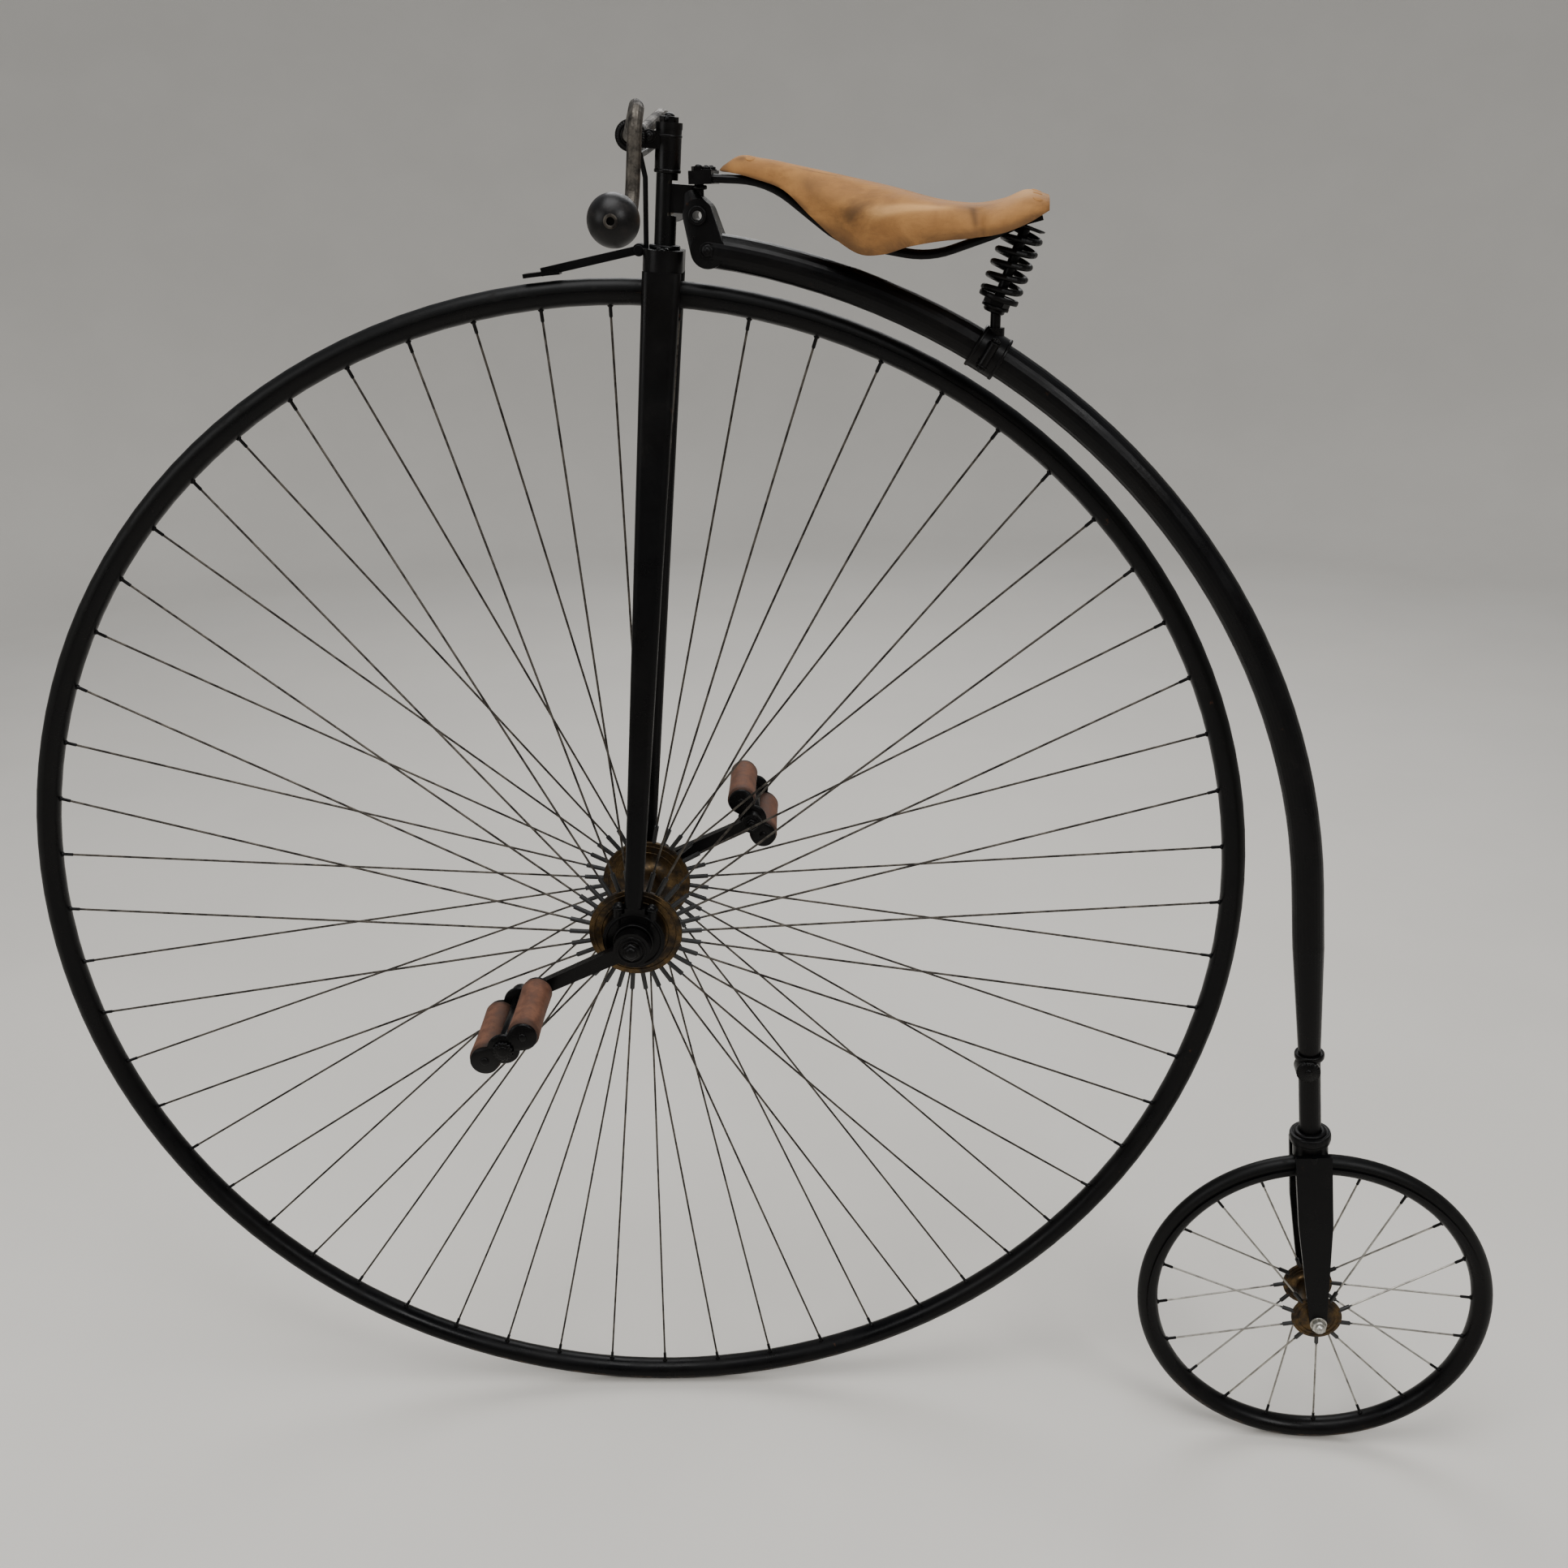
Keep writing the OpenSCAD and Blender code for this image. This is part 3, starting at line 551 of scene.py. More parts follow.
@dataclass(frozen=True)
class SaddleHide:
    """Thick tan cowhide with a suede nap from wear: even tan, lighter in painted highlights on its bends and in
    rubbing wear, with painted shade in its creases, and soiling with painted shade along the ridge.
    """

    nap_mm: float = 0.9
    smudge_mm: float = 34.0

    def make(self) -> bpy.types.Material:
        """Return the hide, with the painted shade of its creases, the painted highlights and rubbing wear of its
        ridges and bends, and its soiled rim and painted shade along the ridge, from the mesh's own attributes.
        """
        m = Material("suede_napped_saddle_hide", 0.82, Sheen_Weight=0.05, Sheen_Roughness=0.45,
                     Specular_IOR_Level=0.3)
        m.shader.inputs["Sheen Tint"].default_value = linear_from_hex("#dcc09a")
        cloud = m.noise(self.smudge_mm, 5, 0.6, 0.5)
        nap = m.noise(self.nap_mm, 4, 0.7)
        streak = m.noise(7, 5, 0.65, 0.6, (5, 1.4, 1))
        colour = m.mix(m.between(cloud, 0.3, 0.7), "#855c31", "#9c7040")
        colour = m.tint(m.between(streak, 0.5, 0.72), 0.35, colour, "#6e4a28")
        # painted highlights: lighter tan along the bends of the flank and on the cantle, with some wear from
        # rubbing
        colour = m.tint(m.attribute("wear_and_painted_highlight"), 0.75, colour, "#c0935d")
        speck = m.between(m.noise(4.2, 5, 0.75), 0.62, 0.72)
        colour = m.tint(speck, 0.3, colour, "#543a22")
        # soiling, smudges and dark edges, with painted shade along the ridge
        soil_and_painted_shade = m.times(m.attribute("soil_and_painted_shade"), m.between(m.noise(26, 5, 0.6, 0.6, (1.6, 1, 0.8)), 0.26, 0.6))
        colour = m.tint(soil_and_painted_shade, 0.85, colour, "#4f3720")
        # painted shade in the creases
        colour = m.tint(m.attribute("painted_crease_shade"), 0.85, colour, "#35230f")
        m.bump(m.noise(34, 4, 0.6, 0.8, (2.2, 1, 1)), 1.6, 0.6)
        m.bump(m.noise(12, 4, 0.6, 0.4), 0.6, 0.7)
        m.bump(nap, 0.14, 0.8)
        return m.done(colour, m.between(cloud, 0.3, 0.7, 0.76, 0.9))


@dataclass
class Finishes:
    """The made materials by finish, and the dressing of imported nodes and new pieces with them."""

    made: dict[Finish, bpy.types.Material] = field(default_factory=dict)

    def make(self) -> None:
        """Make every finish once."""
        self.made = {
            Finish.ENAMEL: BrushedEnamel().make(),
            Finish.BRASS: AgedBrass().make(),
            Finish.TYRE: SolidTyre().make(),
            Finish.GRIP: HandGrip().make(),
            Finish.BLOCK: PedalBlock().make(),
            Finish.STEEL: WornSteel().make(),
            Finish.ZINC: WornSteel("#8a877f", "#cfcdc6", 0.3, "dull_zinc_plate").make(),
            Finish.LEATHER: SaddleHide().make(),
        }

    def dress_nodes(self) -> None:
        """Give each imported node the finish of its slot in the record."""
        hubs = [tuple(joint_named(name)["pos_m"]) for name in ("front_wheel_spin", "rear_wheel_spin")]
        front = SpokeWire(name="bare_spoke_wire", hub_m=hubs[0], black_to_m=0.098).make()
        rear = SpokeWire("#7d7a74", "#a9a69e", 0.36, "plated_spoke_wire", hubs[1], 0.050).make()
        for part in frame["record"]["subparts"]:
            mesh = frame["nodes"][part["node"]].data
            finish = self.made[Finish(part["material_slot"])]
            if "spokes" in part["node"]:
                finish = front if part["node"].startswith("front") else rear
            mesh.materials.clear()
            mesh.materials.append(finish)

    def dress(self, piece: Piece, finish: Finish, body: str,
              replaces: Sequence[str] = ()) -> Piece:
        """Give a new piece its finish, the body that it rides on and the nodes that it stands for.

        Args:
            piece: the new object.
            finish: its finish.
            body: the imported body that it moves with.
            replaces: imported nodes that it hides.

        Returns:
            The piece.
        """
        piece.data.materials.append(self.made[finish])
        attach(piece, body)
        if replaces:
            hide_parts(*replaces)
        log.info("%s: %d faces, rides on %s", piece.name, len(piece.data.polygons), body)
        return piece


@dataclass
class Assembly:
    """A group of pieces that ride on one body and share the finishes."""

    finishes: Finishes
    body: str = "frame"

    def piece(self, name: str, lathe: Lathe, finish: Finish = Finish.ENAMEL,
              replaces: Sequence[str] = ()) -> Piece:
        """Return the lathe's shapes as one piece, dressed and riding on the assembly's body."""
        return self.finishes.dress(lathe.object(name), finish, self.body, replaces)


# ---- Saddle ----

@dataclass
class Saddle(Assembly):
    """The hide that hangs between the nose clip and the cantle plate, with its rivets."""

    nose_x: float = 178.0
    length: float = 305.0
    width: float = 205.0
    hide: float = 3.6
    along: int = 150
    across: int = 96
    dish: float = 5.5
    fold: float = 5.0
    belly: float = 7.0
    # Heights of the ridge, shares of the width and heights of the skirt, each by place along the saddle.
    ridge: tuple = ((0, 24), (0.04, 31), (0.12, 29), (0.24, 21.5), (0.43, 9), (0.57, 1), (0.70, -6.5),
                    (0.80, -10), (0.87, -8), (0.94, -2), (1, -7))
    widths: tuple = ((0, 0.10), (0.03, 0.155), (0.09, 0.2), (0.2, 0.245), (0.32, 0.33), (0.45, 0.47),
                     (0.58, 0.67), (0.70, 0.85), (0.82, 0.97), (0.90, 1.0), (0.96, 0.955), (1, 0.86))
    skirt: tuple = ((0, 19), (0.10, 11), (0.20, -1), (0.28, -23), (0.36, -44), (0.44, -57), (0.50, -57),
                    (0.58, -50), (0.68, -45), (0.78, -42), (0.88, -37), (0.94, -30), (1, -20))
    # Smudges: place along and across, half length, half width and strength.
    smudges: tuple = ((0.79, 0.5, 0.05, 0.18, 1.0), (0.055, 0.42, 0.02, 0.2, 0.8),
                      (0.27, 0.62, 0.05, 0.2, 0.6))
    # Places along and across of the rivets of the cantle and of the nose.
    rivet_at: tuple = ((0.965, 0.62), (0.965, 0.36), (0.965, 0.12), (0.085, 0.34))

    def surface(self, s: np.ndarray, t: np.ndarray) -> np.ndarray:
        """Return points of the hide's outer face.

        At s along the saddle the section is a superellipse: y = w sin(a)^e, z = low + (top - low) cos(a)^e,
        where a runs from 0 at the ridge to a right angle at the skirt, w, top and low follow smooth lines
        along the saddle, and e falls from the round nose to the flat cantle. The dish of the seat, the belly
        of the skirt, the fold in front of the cantle plate and slow waves are added to that.

        Args:
            s: place from the nose, 0, to the cantle, 1.
            t: place across, -1 on the right to 1 on the left.

        Returns:
            Points in millimetres of the bicycle's frame.
        """
        a = np.abs(t) * math.pi / 2
        e = 0.80 - 0.22 * smooth_step((s - 0.35) / 0.4)
        w = smooth_line(self.widths, s) * self.width / 2
        top, low = smooth_line(self.ridge, s), smooth_line(self.skirt, s)
        down = np.clip(np.cos(a), 0, 1) ** e
        out = np.clip(np.sin(a), 0, 1) ** e
        side = np.abs(t)
        dish = self.dish * hump(s, 0.70, 0.16) * hump(t, 0, 0.42)
        fold = self.fold * hump(s - 0.03 * side, 0.775, 0.018) * smooth_step((side - 0.35) / 0.3)
        wave = 1.6 * np.sin(21 * s + 2.2 * t) + 1.1 * np.sin(34 * s + 1.3 + 4 * t)
        wave = wave * smooth_step((side - 0.4) / 0.5) * smooth_step(s / 0.25)
        belly = self.belly * hump(s, 0.42, 0.13) * np.sin(math.pi * smooth_step((side - 0.3) / 0.7))
        y = np.sign(t) * (w * out - fold + wave + belly)
        z = low + (top - low) * down - dish
        x = self.nose_x - self.length * s + 4.0 * (1 - down) * smooth_step((0.06 - s) / 0.06)
        return np.stack([x, y, z], -1)

    def leather(self) -> Piece:
        """Return the hide, a shell 3.6 mm thick with rounded edges, with its wear, soiling, painted shade and
        painted highlights as attributes.
        """
        along, across = np.linspace(0, 1, self.along), np.linspace(-1, 1, self.across)
        s, t = np.meshgrid(along, across, indexing="ij")
        s_even = s + 0.012 * np.sin(TURN * s)
        points = upright_place((0, 0, 0)).point(self.surface(s_even, t))
        faces = grid_faces(self.along, self.across, wrap_columns=False)
        hide = add_mesh("saddle_hide", points, faces)
        for name, value in self.wear_and_painted_light(s, np.abs(t)).items():
            layer = hide.data.attributes.new(name, "FLOAT", "POINT")
            layer.data.foreach_set("value", np.clip(value, 0, 1).ravel())
        self.wall(hide)
        return self.finishes.dress(hide, Finish.LEATHER, self.body, ["saddle_leather"])

    def wear_and_painted_light(self, s: np.ndarray, side: np.ndarray) -> dict[str, np.ndarray]:
        """Return the hide's painted shade in its creases, its soiling with painted shade along the ridge, and its
        painted highlights with rubbing wear, each a sum of humps along and across it.

        Args:
            s: place from the nose, 0, to the cantle, 1.
            side: place from the ridge, 0, to the skirt, 1.

        Returns:
            The values by attribute name.
        """
        # painted shade along the fold in front of the cantle and along a line down from the nose
        fold = hump(s - 0.03 * side, 0.772, 0.012) * smooth_step((side - 0.42) / 0.2)
        nose = hump(side - 0.10 * np.sin(9 * s), 0.17, 0.012) * smooth_step((s - 0.2) / 0.05)
        painted_crease_shade = 0.75 * fold * smooth_step((1.02 - side) / 0.15) + 0.8 * nose * smooth_step((0.40 - s) / 0.08)
        # painted shade along the ridge, added to the soiling below
        ridge = hump(side, 0.05, 0.05) * smooth_step((s - 0.28) / 0.1) * smooth_step((0.72 - s) / 0.1)
        soil_and_painted_shade = hump(s + 0.18 * (side - 0.7), 0.42, 0.07) * hump(side, 0.72, 0.26) + 0.6 * ridge
        for along, across, long, wide, strength in self.smudges:
            soil_and_painted_shade = soil_and_painted_shade + strength * hump(s, along, long) * hump(side, across, wide)
        soil_and_painted_shade = soil_and_painted_shade + 0.7 * hump(s, 1, 0.05) + 0.9 * (hump(side, 1, 0.05) + hump(s, 0, 0.02))
        # painted highlights: a slanting band on the flank, a band below the ridge and the top of the cantle,
        # partly rubbing wear
        pull = hump(side + 0.5 * (s - 0.4), 0.72, 0.06) * smooth_step((s - 0.42) / 0.1)
        wear_and_painted_highlight = (pull * smooth_step((0.78 - s) / 0.15) + 0.6 * hump(side, 0.62, 0.06) * hump(s, 0.55, 0.12)
                  + 0.8 * hump(s, 0.95, 0.05) * smooth_step((0.7 - side) / 0.4))
        return {"painted_crease_shade": painted_crease_shade, "soil_and_painted_shade": soil_and_painted_shade, "wear_and_painted_highlight": wear_and_painted_highlight}

    def wall(self, hide: Piece) -> None:
        """Give the hide its thickness, inwards, and round its cut edges."""
        wall = hide.modifiers.new("thickness", "SOLIDIFY")
        wall.thickness, wall.offset = self.hide * MM, -1
        bevel = hide.modifiers.new("cut_edge", "BEVEL")
        bevel.width, bevel.segments, bevel.limit_method = 1.1 * MM, 3, "ANGLE"
        bevel.angle_limit = math.radians(50)

    def normal_place(self, s: float, t: float) -> Place:
        """Return a frame on the hide's outer face whose z axis points out of it.

        Args:
            s: place along the saddle.
            t: place across it.

        Returns:
            The frame.
        """
        step = 0.004
        at = self.surface(np.array([s, s + step, s]), np.array([t, t, t + step]))
        return pointing_place(at[0] * MM, np.cross(at[2] - at[0], at[1] - at[0]))

    def rivets(self) -> Piece:
        """Return the low hide-covered rivets that hold the hide to the cantle plate and to its nose piece."""
        lathe = Lathe(24)
        for s, t in self.rivet_at:
            for side in (-1, 1):
                lathe.turn(self.normal_place(s, side * t), dome(4.6, -0.3, 0.9))
        return self.piece("saddle_rivets", lathe, Finish.LEATHER)

    def build(self) -> None:
        """Build the saddle's pieces."""
        self.leather()
        self.rivets()


# ---- Fasteners ----

def hexagon(across: float, low: float, high: float) -> list[tuple[float, float]]:
    """Return the profile, for six sides, of a chamfered nut from low to high, so far across its corners."""
    r, c = across / 2, across * 0.06
    return [(0, low), (r - c, low), (r, low + c), (r, high - c), (r - 1.6 * c, high), (0, high)]


def round_head(r: float, low: float, high: float) -> list[tuple[float, float]]:
    """Return the profile of a cylinder with its top edge rounded, from low to high."""
    c = min(r, high - low) * 0.3
    arc = [(r - c + c * math.cos(b), high - c + c * math.sin(b)) for b in np.linspace(0, math.pi / 2, 5)]
    return [(0, low), (r, low), *arc, (0, high)]


def dome(r: float, low: float, high: float) -> list[tuple[float, float]]:
    """Return the profile of half an ellipsoid of radius r that stands from low to high."""
    arc = [(r * math.cos(b), low + (high - low) * math.sin(b)) for b in np.linspace(0, 1.45, 8)]
    return [(0, low - 1), (r, low - 1), *arc, (0, high)]


def toothed(radius: float, proud: float, teeth: int, sides: int) -> np.ndarray:
    """Return radii round an axis that step out and in by proud, so many times a turn."""
    return radius + proud * np.sign(np.sin(teeth * np.arange(sides) * TURN / sides))


def across_place(place: Place, x: float, y: float, z: float, side: int) -> Place:
    """Return a frame at x ahead, y out and z up in place, its z axis outwards on side 1, the left, or -1."""
    out, ahead = place.axes[:, 1] * side, place.axes[:, 0]
    axes = np.column_stack([ahead, np.cross(out, ahead), out])
    return Place(place.point(np.array([x, side * y, z])), axes)


def both_sides(place: Place, x: float, y: float, z: float) -> Iterator[Place]:
    """Return the frames of across_place on the right and then on the left."""
    return (across_place(place, x, y, z, side) for side in (-1, 1))


def bolt_head(lathe: Lathe, place: Place, across: float, height: float, turn: float = 0.0) -> None:
    """Add a washer, a hexagon and the rounded end of the thread in it.

    Args:
        lathe: the shapes to add to.
        place: a frame on the surface, with z out of it.
        across: size of the hexagon across its corners.
        height: height of the hexagon.
        turn: turn of the hexagon, in degrees.
    """
    lathe.turn(place, round_head(across * 0.62, -0.4, 1.1))
    lathe.turn(place, hexagon(across, 1.0, 1.0 + height), 6, turn)
    lathe.turn(place, dome(across * 0.26, 0.8 + height, 2.4 + height), 14)


@dataclass
class SaddleFittings(Assembly):
    """Bolts of the clip and the clamp, and the cups that hold the coil spring."""

    clip: tuple = (204.0, 13.0)
    rail_y: float = 13.0
    spring_foot: tuple = (-85.0, -98.0)
    spring_head: tuple = (-108.0, -35.0)
    foot_nut: tuple = ((0, -16), (9, -16), (10.6, -14.5), (10.6, -12.2), (13.5, -11.6), (13.5, -9), (0, -9))
    head_cup: tuple = ((0, -2), (16, -2), (19, -0.6), (19, 0.8), (0, 1.2))
    arc_middle: tuple = (307.0, -788.0)
    arc_r: float = 744.0
    clamp_angle: float = 59.0
    tube_r: float = 16.75
    bolt_along: float = 11.6
    band_end: float = 13.4

    def clip_bolts(self) -> Piece:
        """Return the clip's two rail bolts, the washer and the rounded end of the front post."""
        lathe, clip = Lathe(20), upright_place((0, 0, 0)).moved(self.clip[0], 0, self.clip[1])
        for y in (-self.rail_y, self.rail_y):
            bolt_head(lathe, clip.moved(-10, y, 6), 9, 2.6, 20)
        lathe.turn(clip.moved(0, 0, 8), dome(4.2, 0, 4))
        lathe.ring(clip, 5.2, -9, 2.2, 2.6)
        return self.piece("saddle_clip_bolts", lathe)

    def spring_place(self) -> Place:
        """Return the spring's frame: origin at its foot, z along it."""
        foot, head = (np.array([p[0], 0.0, p[1]]) for p in (self.spring_foot, self.spring_head))
        return pointing_place(foot * MM, head - foot)

    def spring_cups(self) -> Piece:
        """Return the dished cups above and below the spring and the lock nut under the lower one."""
        place, lathe = self.spring_place(), Lathe(36)
        long = float(np.linalg.norm(np.array(self.spring_head) - np.array(self.spring_foot)))
        lathe.ring(place, 18.2, -1.4, 2.6, 1.5)
        lathe.turn(place, self.foot_nut)
        lathe.turn(place.moved(0, 0, long), self.head_cup)
        return self.piece("spring_cups", lathe)

    def clamp_bolts(self) -> Piece:
        """Return the heads and nuts of the clamp's two bolts and the seam ring at each end of its band."""
        a, lathe = math.radians(self.clamp_angle), Lathe(24)
        up = np.array([-math.cos(a), 0, math.sin(a)])
        middle = np.array([self.arc_middle[0], 0, self.arc_middle[1]])
        place = pointing_place((middle + up * self.arc_r) * MM, up)
        for side in (-1, 1):
            for end in (-1, 1):
                at = place.point(np.array([0, side * (self.tube_r + 5), end * self.bolt_along]))
                turned = Place(at, place.axes @ np.diag([1.0, end, end]))
                bolt_head(lathe, turned, 9.5, 3.2, 10)
        band = Place(place.origin, place.axes[:, [1, 2, 0]])
        for at in (-self.band_end, self.band_end):
            lathe.ring(band, self.tube_r + 4, at, 1.6, 0.9)
        return self.piece("saddle_clamp_bolts", lathe)

    def build(self) -> None:
        """Build the saddle's fittings."""
        self.clip_bolts()
        self.spring_cups()
        self.clamp_bolts()


@dataclass
class Neck(Assembly):
    """The forging behind the head: its cross eye and the bolt through its lobe."""

    eye: tuple = (204.0, -21.0)
    eye_r: float = 4.5
    lobe: tuple = (195.0, -53.0)
    half_width: float = 16.0

    def build(self) -> Piece:
        """Return the rounded rings round the eye and the bolt below it."""
        lathe, place = Lathe(28), upright_place((0, 0, 0))
        for eye in both_sides(place, self.eye[0], self.half_width, self.eye[1]):
            lathe.ring(eye, self.eye_r + 2.6, 0, 1.1, 1.9)
        for lobe in both_sides(place, self.lobe[0], self.half_width - 1.2, self.lobe[1]):
            bolt_head(lathe, lobe, 13, 2.4, 15)
        return self.piece("neck_eye_rings", lathe)


@dataclass
class RearFork(Assembly):
    """The beads of the rear fork's socket, the mounting step's ring and tread, and the rear axle and nuts."""

    lean_degrees: float = 6.3
    socket_top: float = 236.0
    # Beads of the socket: radius, height above its top, half width and half thickness.
    socket_rings: tuple = ((19.6, -5.5, 5.8, 3.4), (14.5, 0.4, 2.4, 3.4))
    step_at: float = 336.0
    tube_r: float = 12.2
    axle_r: float = 5.0
    axle_half: float = 51.0
    nut_at: float = 43.0

    def place(self) -> Place:
        """Return the rear fork's frame: origin on the rear axle, z up the backbone's tail."""
        return upright_place(joint_named("rear_wheel_spin")["pos_m"]).turned_y(self.lean_degrees)

    def beads(self) -> Piece:
        """Return the rounded beads at the top of the socket and the ring of the step."""
        lathe, place = Lathe(48), self.place()
        for radius, above, wide, proud in self.socket_rings:
            lathe.ring(place, radius, self.socket_top + above, wide, proud)
        lathe.ring(place, self.tube_r + 2.6, self.step_at, 3.6, 1.5)
        return self.piece("socket_beads", lathe)

    def step_tread(self) -> Piece:
        """Return the step's roughened face, a disc whose rim is cut in fine teeth, and its screw."""
        lathe, place = Lathe(32), across_place(self.place(), 4, self.tube_r + 6, self.step_at - 12, 1)
        face = [(0, -3), (0, -3), (0.2, -1), (-0.8, 1.0), (0, 1.0)]
        lathe.turn(place, face, outline=toothed(12.6, 0.45, 24, 96))
        lathe.turn(place, dome(4.2, 1.0, 3.2))
        return self.piece("step_tread", lathe)

    def axle(self) -> Piece:
        """Return the rear axle, its washers, nuts and rounded ends."""
        lathe, place = Lathe(28), self.place()
        r, half = self.axle_r, self.axle_half
        lathe.turn(across_place(place, 0, 0, 0, 1), [(0, -half), (r, -half), (r, half), (0, half)])
        for end in both_sides(place, 0, self.nut_at, 0):
            lathe.turn(end, round_head(9.6, 0, 1.6))
            lathe.turn(end, hexagon(17.0, 1.5, 8.2), 6, 20)
            lathe.turn(end, dome(6.0, 8.0, 13.4))
        return self.piece("rear_axle_and_nuts", lathe, Finish.ZINC, ["rear_axle"])

    def build(self) -> None:
        """Build the rear fork's small pieces."""
        self.beads()
        self.step_tread()
        self.axle()


@dataclass
class Wheel(Assembly):
    """The small pieces of a spoked wheel with two flanges."""

    body: str = "front_wheel"
    rim_inside: float = 660.0
    flange_r: float = 51.0
    flange_y: float = 65.0
    flange_t: float = 6.0
    spokes: int = 60
    first: float = -1.5
    wire: float = 2.4

    def place(self) -> Place:
        """Return the wheel's frame, with y along the axle."""
        return steered_place()

    def spoke_places(self, radius: float) -> list[Place]:
        """Return a frame on each spoke at a distance from the axle, with z outwards along the spoke.

        A spoke leaves its flange at radius flange_r - 3 and place y, and meets the rim in the middle plane.

        Args:
            radius: the distance from the axle.

        Returns:
            The frames, the left flange's first.
        """
        place, made, inner = self.place(), [], self.flange_r - 3
        half = self.spokes // 2
        share = (radius - inner) / (self.rim_inside + 1.5 - inner)
        for side in (1, -1):
            for i in range(half):
                a = math.radians(self.first + (0 if side > 0 else 180 / half) + 360 * i / half)
                ray = np.array([math.sin(a), 0, math.cos(a)])
                foot = ray * inner + np.array([0, side * self.flange_y, 0])
                tip = ray * (self.rim_inside + 1.5)
                at = place.point(foot + (tip - foot) * share)
                made.append(pointing_place(at, place.axes @ (tip - foot), place.axes[:, 1]))
        return made

    def nipples(self) -> Piece:
        """Return the short thick ends that hold the spokes in the rim."""
        r, lathe = self.wire, Lathe(8)
        for place in self.spoke_places(self.rim_inside):
            lathe.turn(place, [(0, -12), (r * 0.5, -12), (r * 0.78, -11), (r * 0.78, -2), (r * 1.3, -0.8),
                               (r * 1.3, 1), (0, 1)])
        return self.piece(f"{self.body}_nipples", lathe)

    def flange_rings(self) -> Piece:
        """Return the turned rings on both faces and the rounded rim of each flange."""
        lathe, place, t = Lathe(72), self.place(), self.flange_t / 2
        for flange in both_sides(place, 0, self.flange_y, 0):
            lathe.ring(flange, self.flange_r - 0.3, 0, t * 0.9, 1.0)
            for radius in (0.90, 0.74):
                lathe.ring(flange, self.flange_r * radius, t, 0.7, 1.1)
                lathe.ring(flange, self.flange_r * radius, -t, 0.7, 1.1)
        return self.piece(f"{self.body}_flange_rings", lathe, Finish.BRASS)

    def build(self) -> None:
        """Build the wheel's small pieces."""
        self.nipples()
        self.flange_rings()


@dataclass
class FrontWheel(Wheel):
    """The small pieces of the big driven wheel."""


@dataclass
class RearWheel(Wheel):
    """The small pieces of the little trailing wheel."""

    body: str = "rear_wheel"
    rim_inside: float = 179.5
    flange_r: float = 28.0
    flange_y: float = 30.0
    flange_t: float = 4.0
    spokes: int = 20
    first: float = 0.0
    wire: float = 2.2

    def place(self) -> Place:
        """Return the wheel's frame, which leans with the rear fork."""
        return RearFork(self.finishes).place()


@dataclass
class Fork(Assembly):
    """Bolts and rings of the bearing housings, and the screws and beads of the crown."""

    body: str = "fork"
    crown_top: float = 714.0
    crown_w: float = 39.0
    housing_face: float = 92.0
    foot_y: float = 81.0
    bolt_x: float = 18.0
    bolt_top: float = 35.6
    screw_y: float = 25.0
    # Rings of a bearing's face: radius, height, half width, half thickness and sides.
    face_rings: tuple = ((20.4, -0.6, 1.4, 1.6, 64), (30.5, -6, 1.2, 1.6, 64), (13.4, 0, 1.3, 1.5, 48))

    def housing_bolts(self) -> Piece:
        """Return the clamp bolts of both bearings and the turned steps of the bearings' faces."""
        lathe, place = Lathe(22), steered_place()
        for x in (-self.bolt_x, self.bolt_x):
            for y in (-self.foot_y, self.foot_y):
                top = place.moved(x, y, self.bolt_top)
                lathe.turn(top, round_head(7.2, -0.4, 2.0))
                lathe.turn(top, dome(6.2, 2.0, 7.0))
        for face in both_sides(place, 0, self.housing_face, 0):
            for ring in self.face_rings:
                lathe.ring(face, *ring)
        return self.piece("bearing_bolts", lathe)

    def crown_bolts(self) -> Piece:
        """Return the screws on the crown and its front and the bead round the head's foot."""
        lathe, place = Lathe(30), steered_place()
        for y in (-self.screw_y, self.screw_y):
            lathe.turn(place.moved(0, y, self.crown_top), dome(6.5, 0, 3.4))
        lathe.ring(place, 13.2, self.crown_top + 2, 2.2, 2.2)
        for pivot in both_sides(place, self.crown_w / 2 + 5, 9, self.crown_top - 2):
            lathe.turn(pivot, round_head(4.6, -0.4, 1.8))
        return self.piece("crown_screws", lathe)

    def build(self) -> None:
        """Build the fork's small pieces."""
        self.housing_bolts()
        self.crown_bolts()


